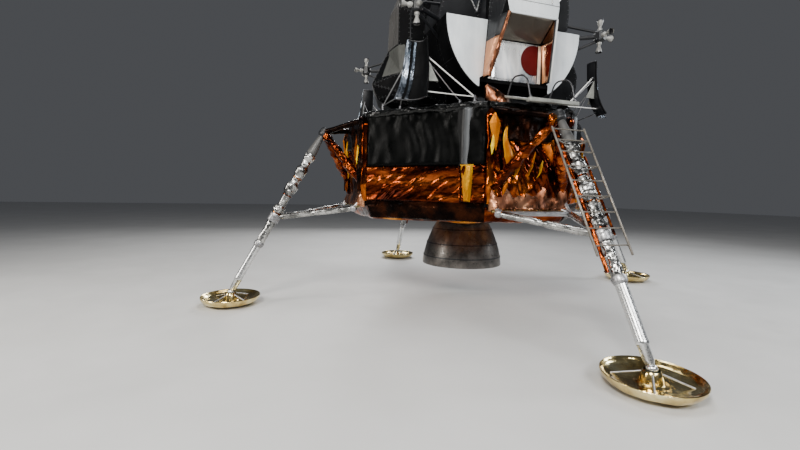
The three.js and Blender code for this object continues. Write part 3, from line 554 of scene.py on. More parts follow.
def draped(node, surface, toward, reach=0.5):
    """The surface let down on to a CAD node along a direction; points that miss it stay."""
    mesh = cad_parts[node].data
    tree = BVHTree.FromPolygons([v.co for v in mesh.vertices], [p.vertices for p in mesh.polygons])
    toward = Vector(toward).normalized()

    def dropped(u, v):
        points = surface(u, v)
        for k, point in enumerate(points):
            hit = tree.ray_cast(Vector(point) - toward * reach, toward, 2 * reach)[0]
            if hit:
                points[k] = hit
        return points

    return dropped


def spun_surface(origin, profile, turn=1):
    """The surface of rows (height, radius) turned about an upright axis; turn -1 faces the other way."""
    heights, radii = zip(*profile)
    share = np.linspace(0, 1, len(profile))

    def surface(u, v):
        angle = 2 * math.pi * u * turn
        radius, height = np.interp(v, share, radii), np.interp(v, share, heights)
        return np.stack([origin[0] + radius * np.cos(angle), origin[1] + radius * np.sin(angle),
                         origin[2] + height], axis=1)

    return surface


# Bars, wrapped tubes and turned bodies

def along_path(points):
    """Frames (point, side, top) along a polyline, with the sides kept level where they can be."""
    points = [Vector(p) for p in points]
    frames = []
    for i, p in enumerate(points):
        before = (p - points[max(i - 1, 0)]).normalized()
        after = (points[min(i + 1, len(points) - 1)] - p).normalized()
        ahead = (before + after).normalized()
        side = ahead.cross(up(1))
        side = side.normalized() if side.length > 1e-3 else Vector((1, 0, 0))
        frames.append((p, side, ahead.cross(side).normalized()))
    return frames


def rod(points, radius, look, sides, body="lander"):
    """A round bar along a polyline. radius is a number or one for each point."""
    radii = radius if hasattr(radius, "__len__") else [radius] * len(points)
    vertices = []
    for (p, side, top), r in zip(along_path(points), radii):
        vertices += [p + side * (r * math.cos(a)) + top * (r * math.sin(a)) for a in angles(sides)]
    faces = []
    for j in range(0, len(vertices) - sides, sides):
        for k in range(sides):
            a, b = j + k, j + (k + 1) % sides
            faces.append((a, b, b + sides, a + sides))
    faces.append(tuple(range(sides))[::-1])
    faces.append(tuple(range(len(vertices) - sides, len(vertices))))
    return piece(vertices, faces, look, body, 40)


def rounded(points, radius, steps=5):
    """The polyline with its corners rounded off."""
    points = [Vector(p) for p in points]
    path = [points[0]]
    for before, corner, after in zip(points, points[1:], points[2:]):
        reach = min(radius, (before - corner).length * 0.45, (after - corner).length * 0.45)
        start = corner + (before - corner).normalized() * reach
        end = corner + (after - corner).normalized() * reach
        for k in range(steps + 1):
            t = k / steps
            path.append(start * (1 - t) ** 2 + corner * (2 * t * (1 - t)) + end * t ** 2)
    return path + [points[-1]]


def wrapped_rod(a, b, profile, look, amount, fold, seed, sides, cell, stretch=1.6, turn=0.0, name="part"):
    """A tube wrapped in crumpled foil from a to b. profile rows are (share of the length, radius)."""
    a, b = Vector(a), Vector(b)
    rng = np.random.RandomState(seed)
    length = (b - a).length
    rings = max(6, round(length / cell))
    (_, side, top), _ = along_path([a, b])
    ahead = (b - a).normalized()
    shares, radii = zip(*profile)
    mean = sum(radii) / len(radii)
    t, angle = (grid.ravel() for grid in np.meshgrid(
        np.arange(rings + 1) / rings, (np.arange(sides) / sides) * 2 * math.pi, indexing="ij"))
    inner = (t > 0) & (t < 1)
    t = t + inner * rng.uniform(-0.3, 0.3, len(t)) / rings
    angle = angle + rng.uniform(-0.3, 0.3, len(t)) * TURN / sides
    radius = np.interp(t, shares, radii)
    radius = radius * (1 + amount * crumpled(1.6, fold, seed, stretch, turn)(angle * mean, t * length))
    spokes = np.outer(np.cos(angle), side) + np.outer(np.sin(angle), top)
    points = list(np.array(a) + np.outer(t * length, ahead) + spokes * radius[:, None])
    faces = grid_faces(sides, rings, rng, closed=True)
    for ring, point in ((0, a), (rings, b)):
        points.append(tuple(point))
        for k in range(sides):
            pair = (ring * sides + k, ring * sides + (k + 1) % sides)
            faces.append((*pair[::-1], len(points) - 1) if ring == 0 else (*pair, len(points) - 1))
    return piece(points, faces, look, "lander", 30, name)


def turned(origin, axis, profile, look, sides, body="lander", smooth=35, name="part"):
    """A body of revolution: profile rows are (distance along the axis from the origin, radius)."""
    origin, axis = Vector(origin), Vector(axis).normalized()
    side = axis.orthogonal().normalized()
    top = axis.cross(side)
    vertices, faces, rings = [], [], []
    for along, radius in profile:
        centre = origin + axis * along
        if radius < 1e-6:
            rings.append([len(vertices)] * sides)
            vertices.append(centre)
            continue
        rings.append(list(range(len(vertices), len(vertices) + sides)))
        vertices += [centre + (side * math.cos(a) + top * math.sin(a)) * radius for a in angles(sides)]
    for low, high in zip(rings, rings[1:]):
        for k in range(sides):
            n = (k + 1) % sides
            face = tuple(dict.fromkeys((low[k], low[n], high[n], high[k])))
            if len(face) > 2:
                faces.append(face)
    return piece(vertices, faces, look, body, smooth, name)


def ball(centre, radius, look, sides):
    rows = [-radius + 0.2 * radius * k for k in range(11)]
    return turned(centre, up(1), [(z, math.sqrt(max(0.0, radius ** 2 - z ** 2))) for z in rows], look, sides,
                  smooth=60)


# Plates, blocks and fasteners

def plate(outline, normal, thickness, look, bevel, body="lander", name="part"):
    """A flat panel: outline points in order, raised by thickness along normal, with a small rounded edge."""
    lift = Vector(normal).normalized() * thickness
    work = bmesh.new()
    low = [work.verts.new(Vector(p)) for p in outline]
    high = [work.verts.new(Vector(p) + lift) for p in outline]
    work.faces.new(low)
    top_face = work.faces.new(high)
    count = len(outline)
    for k in range(count):
        n = (k + 1) % count
        work.faces.new((low[k], low[n], high[n], high[k]))
    bmesh.ops.recalc_face_normals(work, faces=work.faces)
    bmesh.ops.bevel(work, geom=list(top_face.edges), offset=bevel, segments=2, affect="EDGES", profile=0.6)
    return bmesh_piece(work, look, body, 30, name)


def block(low, high, look, bevel):
    """A box between two corners with rounded edges."""
    work = bmesh.new()
    bmesh.ops.create_cube(work, size=1.0)
    low, high = Vector(low), Vector(high)
    for vert in work.verts:
        vert.co = Vector((low[k] + (vert.co[k] + 0.5) * (high[k] - low[k]) for k in range(3)))
    bmesh.ops.bevel(work, geom=list(work.edges), offset=bevel, segments=2, affect="EDGES", profile=0.6)
    return bmesh_piece(work, look, "lander", 30)


def studs(places, look, radius, body="lander", name="part"):
    """Small domed fasteners. Each place is (point, outward normal)."""
    sides, vertices, faces = 6, [], []
    rings = ((radius, -0.001), (radius, radius * 0.25), (radius * 0.6, radius * 0.55))
    for point, normal in places:
        point, normal = Vector(point), Vector(normal).normalized()
        side = normal.orthogonal().normalized()
        top = normal.cross(side)
        start = len(vertices)
        for r, high in rings:
            vertices += [point + normal * high + (side * math.cos(a) + top * math.sin(a)) * r
                         for a in angles(sides)]
        vertices.append(point + normal * radius * 0.65)
        last, peak = start + 2 * sides, start + 3 * sides
        for j in (start, start + sides):
            for k in range(sides):
                n = (k + 1) % sides
                faces.append((j + k, j + n, j + sides + n, j + sides + k))
        faces += [(last + k, last + (k + 1) % sides, peak) for k in range(sides)]
    return piece(vertices, faces, look, body, 50, name)


# Skins: thin raised panels over the flat regions of a CAD node

def inset(points, normal, gap):
    """The outline moved inwards by gap."""
    moved = []
    for before, p, after in zip(points[-1:] + points, points, points[1:] + points[:1]):
        before, after = (p - before).normalized(), (after - p).normalized()
        inward = normal.cross(before) + normal.cross(after)
        moved.append(p + inward * (gap / max(0.35, 1 + before.dot(after))))
    return moved


def area_of(points, normal):
    total = Vector((0, 0, 0))
    for p, q in zip(points, points[1:] + points[:1]):
        total += p.cross(q)
    return 0.5 * total.dot(normal)


def merged_faces(node):
    """(outline, normal) of the flat regions of a CAD node."""
    work = bmesh.new()
    work.from_mesh(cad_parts[node].data)
    bmesh.ops.remove_doubles(work, verts=work.verts, dist=0.0004)
    bmesh.ops.dissolve_limit(work, angle_limit=math.radians(0.8), verts=work.verts, edges=work.edges)
    regions = [([v.co.copy() for v in face.verts], face.normal.copy()) for face in work.faces]
    work.free()
    return regions


def divided(points, normal, width):
    """The outline cut into pieces no wider than about width, across its longest side."""
    if width is None:
        return [points]
    spans = sorted(((q - p) for p, q in zip(points, points[1:] + points[:1])), key=lambda e: -e.length)
    result = [points]
    for axis in (spans[0].normalized(), spans[0].normalized().cross(normal)):
        low, high = min(p.dot(axis) for p in points), max(p.dot(axis) for p in points)
        count = max(1, round((high - low) / width))
        for k in range(1, count):
            at = low + (high - low) * k / count
            result = [part for outline in result for part in cut_outline(outline, axis, at)]
    return result


def cut_outline(points, axis, at):
    """An outline cut in two by a plane. Only for outlines that the plane crosses twice."""
    sides = [p.dot(axis) - at for p in points]
    if sum(1 for a, b in zip(sides, sides[1:] + sides[:1]) if (a < 0) != (b < 0)) != 2:
        return [points]
    low, high = [], []
    for p, q, a, b in zip(points, points[1:] + points[:1], sides, sides[1:] + sides[:1]):
        (low if a < 0 else high).append(p)
        if (a < 0) != (b < 0):
            cross = p + (q - p) * (a / (a - b))
            low.append(cross)
            high.append(cross)
    return [low, high]


def skin(name, regions, look_of, rise, wave, cell, rivets, width, least=0.012):
    """Raised panels with a seam round each and a row of fasteners along its edges.

    look_of(centre, normal, area) names a look, or gives None to leave a region bare."""
    gap = 0.005
    groups, places = {}, []
    for region, normal in regions:
        look = look_of(sum(region, Vector()) / len(region), normal, area_of(region, normal))
        for outline in divided(region, normal, width) if look else ():
            base, rim = inset(outline, normal, gap), inset(outline, normal, gap + 0.003)
            if area_of(outline, normal) >= least and area_of(rim, normal) >= least * 0.5:
                groups.setdefault(look, []).append((base, rim, normal))
                places += stud_row(inset(outline, normal, gap + 0.018), normal, rise, rivets)
    made = [panel_mesh(panels, look, rise, wave, cell) for look, panels in groups.items()]
    joined(name, made + [studs(places, "bare_metal", 0.004)])


def stud_row(outline, normal, rise, spacing):
    places = []
    for p, q in zip(outline, outline[1:] + outline[:1]):
        length = (q - p).length
        if length >= 0.12:
            count = int(length / spacing)
            places += [(p + (q - p) * ((k + 0.5) / count) + normal * rise, normal) for k in range(count)]
    return places


def panel_mesh(panels, look, rise, wave, cell):
    work = bmesh.new()
    for base, rim, normal in panels:
        rows = [[work.verts.new(p + normal * high) for p in ring]
                for ring, high in ((base, -0.002), (base, rise - 0.002), (rim, rise))]
        for low, high in zip(rows, rows[1:]):
            for k in range(len(base)):
                n = (k + 1) % len(base)
                work.faces.new((low[k], low[n], high[n], high[k]))
        top = work.faces.new([work.verts.new(p + normal * rise) for p in rim])
        filled = bmesh.ops.triangulate(work, faces=[top])["faces"]
        for _ in range(4):
            edges = {e for face in filled for e in face.edges if e.calc_length() > cell * 1.6}
            if not edges:
                break
            bmesh.ops.subdivide_edges(work, edges=list(edges), cuts=1)
            verts = {v for face in filled if face.is_valid for v in face.verts}
            region = {face for v in verts for face in v.link_faces}
            filled = bmesh.ops.triangulate(work, faces=list(region))["faces"]
        for v in {v for face in filled for v in face.verts if not v.is_boundary}:
            x, y, z = v.co
            broad = math.sin(7.1 * x + 3.3 * z) * math.sin(6.3 * z - 4.1 * y)
            small = 0.6 * math.sin(15.0 * x - 11.0 * y + 2.0) * math.sin(13.0 * z + 9.0 * y)
            v.co += normal * (wave * (broad + small))
    return bmesh_piece(work, look, "lander", 25)


# Descent stage: foils and blankets over the octagonal body

COVER_LOW = DECK - 0.83
BAND_LOW = DECK - 1.38
UNDERSIDE = BASE - 0.002


def side_frame(degrees, out):
    """Centre, outward normal and rightward tangent (seen from outside) of a vertical face."""
    angle = math.radians(degrees)
    normal = Vector((math.sin(angle), -math.cos(angle), 0))
    return normal * out, normal, spoke(angle)


def face_quad(degrees, out, left, right, low, high):
    centre, _, tangent = side_frame(degrees, out)
    return [centre + tangent * x + up(z) for x, z in ((left, low), (right, low), (right, high), (left, high))]


def slanted_quad(degrees, *edges):
    """Corners of a quad between a lower and an upper edge, each (distance out, left, right, height)."""
    low, top = (face_quad(degrees, out, left, right, z, z) for out, left, right, z in edges)
    return [low[0], low[1], top[1], top[0]]


def face_sheet(name, degrees, place, look, heights, cell, lift, tuck, seed, smooth=28):
    """A sheet on a vertical face. place is (distance out, left, right, low, high)."""
    sheet(flat(face_quad(degrees, *place)), look, heights, cell, lift, tuck, seed, smooth=smooth, name=name)


def octagon_at(out, z):
    """The eight corners of the body's outline at distance out, counterclockwise from above, closed."""
    half = FACE_HALF - (FACE_OUT - out) * (0.4 if out > 1.9 else 0.33)
    corners = [(half, -out), (out, -half), (out, half), (half, out)]
    corners += [(-x, -y) for x, y in corners]
    return np.array([(x, y, z) for x, y in corners + corners[:1]])


def octagon_band(outs, z):
    """The level surface through octagon outlines at several distances out."""
    rings = [octagon_at(out, z) for out in outs]
    around = np.linspace(0, 1, 9)

    def surface(u, v):
        turn = np.mod(u, 1.0)
        place = np.clip(v, 0, 1) * (len(rings) - 1)
        points = np.zeros((len(u), 3))
        for k, ring in enumerate(rings):
            level = np.stack([np.interp(turn, around, ring[:, axis]) for axis in range(3)], axis=1)
            points += level * np.clip(1 - np.abs(place - k), 0, 1)[:, None]
        return points

    return surface


def hump(x, width):
    return np.sin(np.clip(x / width, 0, 1) * math.pi)


def diagonal_face(corner):
    degrees, sx, sy = CORNERS[corner]
    seed = degrees // 10
    half = DIAGONAL_HALF
    width = 2 * half - 0.02
    ridge_at = 0.857 if sx == sy else 0.143
    x = (ridge_at - 0.5) * width

    def ridge(x, y):
        return 0.05 * np.exp(-((x / width - ridge_at) / 0.030) ** 4)

    def cover(x, y):
        bulge, waves = np.clip((0.82 - y) / 0.82, 0, 1), np.clip((y - 0.66) / 0.1, 0, 1)
        return 0.03 * bulge ** 2 + 0.012 * waves * np.sin(x * 31)

    face_sheet(f"black_cover_{corner}", degrees,
               (DIAGONAL_OUT, -half + 0.01, half - 0.01, COVER_LOW - 0.015, DECK - 0.01), "black_gloss",
               rolling(0.020, 0.36, seed, 3.5, cover), 0.03, 0.030, 0.04, seed, 60)
    # A rounded fold down the cover, with its highlight painted into its colour.
    face_sheet(f"cover_ridge_{corner}", degrees,
               (DIAGONAL_OUT + 0.020, x - 0.145, x + 0.075, COVER_LOW - 0.02, DECK - 0.01), "ridge_painted_highlight",
               rolling(0.003, 0.3, seed + 3, 3.0, lambda p, q: 0.045 * hump(p, 0.23) ** 2),
               0.015, 0.010, 0.03, seed, 60)
    face_sheet(f"amber_band_{corner}", degrees, (DIAGONAL_OUT, -half, half, BAND_LOW, COVER_LOW + 0.01),
               "rust_foil", crumpled(0.11, 0.17, seed + 1, 4.2, 66 if seed % 2 else -66, ridge, 0.45),
               0.013, 0.050, 0.03, seed)
    # A yellow strip down the ridge of the band: painted highlight where the ridge catches the light.
    out = DIAGONAL_OUT + 0.036
    quad = slanted_quad(degrees, (out, x - 0.01, x + 0.08, BAND_LOW + 0.02),
                        (out, x - 0.08, x + 0.12, COVER_LOW + 0.01))
    folds = crumpled(0.09, 0.045, seed + 6, 8.0, 5, lambda p, q: 0.03 * hump(p, 0.15), 0.4)
    sheet(flat(quad), "yellow_foil_painted_highlight", folds, 0.009, 0.050, 0.02, seed + 6, smooth=20,
          name=f"band_ridge_{corner}")
    # A near-black band under the amber one: dark film, partly painted shade over the body's lower edge.
    face_sheet(f"brown_band_{corner}", degrees,
               (DIAGONAL_OUT - 0.004, -half, half, BEVEL_TOP - 0.02, BAND_LOW + 0.02), "brown_foil",
               crumpled(0.03, 0.14, seed + 2, 1.6, 80), 0.02, 0.014, 0.02, seed)


# Long folds of the foil on a face that carries a leg. Columns: place across the face, lowest and highest
# depth under the deck, width, lean of the top, bend of the middle, the widest share of the height, look
# The yellow and orange looks on these folds are painted highlights, bright where folds catch the light.
FACE_FOLDS = [
    (-0.63, 0.64, 0.12, 0.18, -0.03, 0.00, 0.72, "orange_foil_painted_highlight"),
    (-0.43, 0.90, 0.28, 0.16, -0.03, 0.03, 0.30, "yellow_foil_painted_highlight"),
    (-0.69, 0.70, 0.36, 0.06, 0.02, 0.00, 0.35, "yellow_foil_painted_highlight"),
    (-0.33, 1.00, 0.70, 0.13, 0.12, 0.02, 0.70, "yellow_foil_painted_highlight"),
    (-0.10, 0.98, 0.62, 0.035, 0.12, 0.00, 0.40, "orange_foil_painted_highlight"),
    (0.06, 1.00, 0.74, 0.030, 0.09, 0.01, 0.60, "yellow_foil_painted_highlight"),
    (0.44, 1.00, 0.26, 0.050, -0.05, -0.02, 0.60, "orange_foil_painted_highlight"),
    (0.56, 0.90, 0.40, 0.040, -0.02, 0.01, 0.40, "yellow_foil_painted_highlight"),
    (-0.50, 1.26, 1.02, 0.07, 0.08, 0.00, 0.50, "orange_foil_painted_highlight"),
]
# How far the folds stand out from the face
FOLD_OUT = 0.115


def face_fold(name, degrees, fold, seed):
    """A leaf-shaped fold that stands out from the face and narrows to a point at both ends."""
    across, low, high, width, lean, bend, widest, look = fold
    centre, normal, tangent = (np.array(p) for p in side_frame(degrees, FACE_OUT + FOLD_OUT))

    def surface(u, v):
        share = np.clip(v, 0, 1)
        taper = np.minimum(share / widest, (1 - share) / (1 - widest)) ** 0.85
        x = across + lean * v + bend * np.sin(2 * math.pi * share) + (u - 0.5) * width * (0.02 + taper)
        out = 0.045 * (1 - np.abs(2 * u - 0.9)) * taper
        z = DECK - low + (low - high) * v
        return centre + np.outer(x, tangent) + np.outer(out, normal) + np.outer(z, (0, 0, 1))

    folds = crumpled(0.03, 0.035, seed, 9.0, 4, None, 0.3)
    sheet(surface, look, folds, 0.008, 0.004, 0.02, seed, smooth=20, name=name)


def cardinal_face(side, degrees):
    seed = 40 + degrees // 10
    half = FACE_HALF

    def gathers(x, y):
        return 0.012 * np.sin(x * 17 + 3.1 * np.sin(y * 5 + seed) + seed)

    def flare(x, y):
        return 0.10 * np.clip(1 - y / 0.42, 0, 1) ** 1.4 + 0.010 * np.sin(x * 19 + 4 * np.sin(y * 7 + seed))

    face_sheet(f"amber_face_{side}",
               degrees, (FACE_OUT, -half + 0.02, half - 0.02, BEVEL_TOP + 0.1, DECK - 0.16), "amber_drape",
               crumpled(0.17, 0.17, seed, 3.4, -24, gathers, 0.38), 0.013, 0.075, 0.05, seed, 20)
    # A near-black sheet across the top of the face: painted shade where shadow falls under the deck's edge.
    face_sheet(f"painted_shade_top_{side}", degrees,
               (FACE_OUT + 0.065, -half + 0.20, half - 0.02, DECK - 0.50, DECK - 0.01), "brown_foil",
               crumpled(0.09, 0.20, seed + 1, 2.0, 10, None, 0.3), 0.018, 0.05, 0.03, seed)
    for k, fold in enumerate(FACE_FOLDS):
        face_fold(f"face_fold_{side}_{k}", degrees, fold, seed + 60 + k)
    face_sheet(f"copper_skirt_{side}", degrees,
               (FACE_OUT + 0.03, -half + 0.03, half - 0.03, BEVEL_TOP - 0.06, DECK - 1.02), "copper_foil",
               crumpled(0.13, 0.34, seed + 2, 2.2, -32, flare, 0.18), 0.015, 0.05, 0.05, seed, 20)
    centre, normal, tangent = side_frame(degrees, FACE_OUT)
    trims = []
    for s in (-1, 1):
        foot = centre + tangent * (s * (half - 0.06)) + normal * 0.01
        trims.append(wrapped_rod(foot + up(BEVEL_TOP + 0.05), foot + up(DECK - 0.05),
                                 [(0, 0.05), (0.2, 0.08), (0.5, 0.07), (0.8, 0.085), (0.93, 0.10),
                                  (1, 0.05)], "amber_drape", 0.45, 0.13, seed + 5 + s, 34, 0.022, 3.2))
        drop = centre + tangent * (s * (half - 0.27)) + normal * 0.05
        trims.append(wrapped_rod(
            drop + up(DECK - 0.95), drop + up(DECK - 0.32), [(0, 0.03), (0.3, 0.075), (0.7, 0.06), (1, 0.02)],
            "amber_drape", 0.5, 0.10, seed + 15 + s, 26, 0.022, 3.0, 8))
    joined(f"corner_foils_{side}", trims)
    edge = [centre + tangent * x + normal * 0.135 + up(BEVEL_TOP - 0.05) for x in (-half + 0.03, half - 0.03)]
    wrapped_rod(*edge, [(0, 0.024), (1, 0.024)], "gold_foil", 0.8, 0.06, seed + 9, 14, 0.016,
                name=f"gold_hem_{side}")


def deck_edge():
    """Rolled black hems along the deck's eight edges, and the blanket over the deck between them."""
    corners = octagon_at(FACE_OUT - 0.02, DECK + 0.005)
    roll = [(0, 0.05), (0.2, 0.062), (0.45, 0.05), (0.7, 0.068), (1, 0.05)]
    joined("deck_hems", [wrapped_rod(a, b, roll, "hem_gloss", 0.55, 0.09, 60 + k, 26, 0.020, 1.6)
                         for k, (a, b) in enumerate(zip(corners, corners[1:]))])
    sheet(octagon_band((2.05, 1.6, 1.1, 0.6), DECK), "black_blanket", crumpled(0.035, 0.28, 61, 1.2), 0.045,
          0.014, 0.04, 61, closed=True, name="deck_blanket")


def underside():
    for k in range(8):
        out, half, taper = (DIAGONAL_OUT, DIAGONAL_HALF, 0.03) if k % 2 else (FACE_OUT, FACE_HALF, 0.036)
        low_half = half - taper
        quad = slanted_quad(45 * k, (out - 0.09, -low_half, low_half, UNDERSIDE),
                            (out + 0.004, -half, half, BEVEL_TOP))
        sheet(flat(quad), "brown_foil" if k % 2 else "rust_foil", crumpled(0.04, 0.15, 70 + k, 1.5, 20),
              0.025, 0.014, 0.02, 70 + k, name=f"bevel_foil_{k}")

    outline = octagon_band((2.0,), UNDERSIDE)

    def base(u, v):
        rim = outline(u, v)
        angle = np.arctan2(rim[:, 1], rim[:, 0])
        inner = np.stack([0.71 * np.cos(angle), 0.71 * np.sin(angle), np.full_like(angle, UNDERSIDE)], axis=1)
        return inner * (1 - v)[:, None] + rim * v[:, None]

    sheet(base, "amber_foil", crumpled(0.05, 0.24, 81, 1.2), 0.035, 0.016, 0.03, 81, closed=True,
          name="base_foil")
    sheet(spun_surface((0, 0, BASE), [(0.005, 0.697), (1.08, 0.697)], -1), "silver_foil",
          crumpled(0.03, 0.16, 83, 1.4), 0.03, 0.008, 0.02, 83, closed=True, name="well_lining")
    turned(up(BASE), up(1), [(-0.012, 0.70), (-0.012, 0.745), (0.0, 0.752), (0.006, 0.752), (0.006, 0.692),
                             (-0.008, 0.692), (-0.012, 0.70)], "bare_metal", 72, name="well_rim")


def descent_stage():
    for corner in CORNERS:
        diagonal_face(corner)
    for side, degrees in LEG_SIDES.items():
        cardinal_face(side, degrees)
    deck_edge()
    underside()


# Descent engine: a smooth bell with stiffening bands, on the body that tilts

THROAT_Z, EXIT_Z, PIVOT_Z = 1.93, 0.56, 2.15
BELL_WALL = 0.013


def bell_z(share):
    return EXIT_Z + (THROAT_Z - EXIT_Z) * share


def bell_radius(z):
    drop = (THROAT_Z - z) / (THROAT_Z - EXIT_Z)
    return 0.12 + 0.63 * (1 - (1 - drop) ** 1.7)


def descent_engine():
    inner = [(bell_z(k / 32), bell_radius(bell_z(k / 32))) for k in range(33)]
    outer = [(z, radius + BELL_WALL) for z, radius in inner]
    chamber = [(1.97, 0.165), (2.0, 0.192), (2.1, 0.205), (2.26, 0.208), (2.32, 0.20), (2.36, 0.15),
               (2.39, 0.118), (2.39, 0)]
    bands = []
    for z in (bell_z(share) for share in (0.12, 0.3, 0.5, 0.72)):
        radius = bell_radius(z) + BELL_WALL
        slope = (bell_radius(z + 0.01) - bell_radius(z)) / 0.01
        band = [(dz, radius + dz * slope + rise)
                for dz, rise in ((-0.012, -0.004), (-0.010, 0.007), (0.010, 0.007), (0.012, -0.004))]
        bands.append(turned(up(z), up(1), band, "dark_metal", 72, "engine"))
    bell = [(EXIT_Z, 0.75), (EXIT_Z, 0.762), *outer, *chamber]
    parts = [turned(up(0), up(1), bell, "nozzle_metal", 72, "engine"),
             turned(up(0), up(1), [(1.95, 0), *inner[::-1]], "dark_metal", 72, "engine"), *bands]
    for s in (-1, 1):
        parts.append(rod([(0, s * 0.15, PIVOT_Z), (0, s * 0.375, PIVOT_Z)], 0.0238, "bright_metal", 20,
                         "engine"))
    for angle in angles(8):
        way = spoke(angle + 0.4)
        pipe = [way * r + up(z) for r, z in ((0.205, 2.05), (0.235, 2.08), (0.235, 2.3), (0.13, 2.345))]
        parts.append(rod(rounded(pipe, 0.03), 0.009, "bare_metal", 10, "engine"))
    joined("descent_engine_assembly", parts, "descent_engine")


# Landing gear, made for the fore leg; at(...) turns its points to the leg that is built

APEX = Vector((0, -2.71, DECK - 0.211))
BALL = Vector((0, -4.25, 0.20))
LEG_AXIS = (BALL - APEX).normalized()
LEG_LENGTH = (BALL - APEX).length
TRUSS_HALF, TRUSS_Y, TRUSS_Z = 0.6, -2.3, 1.64
COLLAR_Z = 1.45


def on_leg(z):
    return APEX + LEG_AXIS * ((z - APEX.z) / LEG_AXIS.z)


def outrigger(side, at, seed):
    apex, = at(APEX)
    tubes = []
    for s in (-1, 1):
        foot, root = at((s * 0.6, -FACE_OUT - 0.01, DECK - 1.15), (s * 0.64, -FACE_OUT - 0.01, DECK - 0.06))
        tubes.append(wrapped_rod(foot, apex,
                                 [(0, 0.085), (0.12, 0.07), (0.5, 0.075), (0.7, 0.062), (0.9, 0.068),
                                  (1, 0.055)], "rust_foil", 0.6, 0.08, seed + s, 26, 0.016, 1.3, 18 * s))
        tubes.append(wrapped_rod(root, apex, [(0, 0.05), (0.5, 0.044), (1, 0.05)], "brown_foil", 0.3, 0.09,
                                 seed + 5 + s, 20, 0.022))
    # Foil over the joint and a bunch below it; but for the fore leg, dark columns beside the tubes' roots
    knot = at(APEX - LEG_AXIS * 0.075, APEX + LEG_AXIS * 0.085)
    tubes.append(wrapped_rod(*knot, [(0, 0.05), (0.2, 0.070), (0.6, 0.080), (0.9, 0.075), (1, 0.05)],
                             "dark_skin", 0.3, 0.06, seed + 8, 30, 0.012))
    bunch = at((-0.11, -2.68, DECK - 0.19), (-0.07, -2.70, DECK - 0.33))
    tubes.append(wrapped_rod(*bunch, [(0, 0.03), (0.25, 0.055), (0.6, 0.060), (1, 0.03)], "amber_foil",
                             0.75, 0.045, seed + 9, 26, 0.010))
    for s in (-1, 1) if side != "fore" else ():
        column = at((s * 0.60, -FACE_OUT - 0.09, DECK - 1.22), (s * 0.62, -FACE_OUT - 0.05, DECK - 0.05))
        tubes.append(wrapped_rod(*column, [(0, 0.06), (0.3, 0.08), (0.6, 0.06), (0.85, 0.085), (1, 0.05)],
                                 "brown_foil", 0.5, 0.11, seed + 30 + s, 26, 0.022, 2.6))
    joined(f"outrigger_foil_{side}", tubes, f"outrigger_{side}")


# Bunches of foil on the upper strut: height, half length, radius
STRUT_LUMPS = ((2.49, 0.075, 0.098), (2.24, 0.10, 0.094), (1.95, 0.11, 0.102), (1.59, 0.08, 0.094))
# Places along the leg: where the cone under the apex ends, and where the foil ends above the piston
CONE_END = 0.44
SLEEVE_END = LEG_LENGTH - 0.9


def primary_strut(side, at, seed):
    def along(d, shift=up(0)):
        return at(APEX + LEG_AXIS * d + shift)[0]

    start, end = at(up(0), LEG_AXIS)
    axis = end - start
    wrap_length = SLEEVE_END - CONE_END
    wrap = [(0, 0.070)]
    for height, reach, radius in STRUT_LUMPS:
        middle = ((height - APEX.z) / LEG_AXIS.z - CONE_END) / wrap_length
        reach /= wrap_length
        wrap += [(middle - reach, 0.070), (middle - 0.6 * reach, radius),
                 (middle + 0.5 * reach, radius * 0.97), (middle + reach, 0.070)]
    wrap.append((1, 0.066))
    cone = [(0, 0), (0, 0.046), (0.02, 0.05), (0.14, 0.062), (0.30, 0.082), (0.34, 0.085), (0.355, 0.081),
            (0.355, 0)]
    gland = [(-0.06, 0), (-0.06, 0.078), (-0.05, 0.082), (0.0, 0.082), (0.012, 0.072), (0.03, 0.068),
             (0.03, 0)]
    piston = [(0, 0), (0, 0.063), (0.62, 0.063), (0.63, 0.066), (0.66, 0.066), (0.67, 0.06), (0.82, 0.052),
              (0.86, 0.04), (0.86, 0)]
    parts = [turned(along(0.09), along(CONE_END) - along(0.09), cone, "grey_skin", 36),
             wrapped_rod(along(CONE_END), along(SLEEVE_END), wrap, "silver_foil", 0.26, 0.06, seed + 11, 34,
                         0.014, 1.2, 70),
             turned(along(SLEEVE_END), axis, gland, "bare_metal", 40),
             turned(along(SLEEVE_END), axis, piston, "bright_metal", 40),
             ball(at(BALL)[0], 0.055, "bright_metal", 32)]
    for d in (0.93, 1.27, 1.62):
        tie = [(-0.008, 0.06), (-0.008, 0.083), (0.008, 0.083), (0.008, 0.06)]
        parts.append(turned(along(d), axis, tie, "amber_foil", 32))
    # A thin foil-wrapped line along the inner side of the sleeve
    aside = Vector((-0.105, 0.02, 0))
    parts.append(wrapped_rod(along(0.20, aside), along(LEG_LENGTH - 1.0, aside),
                             [(0, 0.022), (0.3, 0.030), (0.7, 0.026), (1, 0.022)], "rust_foil", 0.4, 0.06,
                             seed + 14, 16, 0.016, 2.0))
    for d in (0.30, 0.80, 1.35, 2.05):
        parts.append(rod([along(d, aside), along(d)], 0.010, "bare_metal", 10))
    joined(f"strut_{side}", parts, f"primary_strut_{side}")


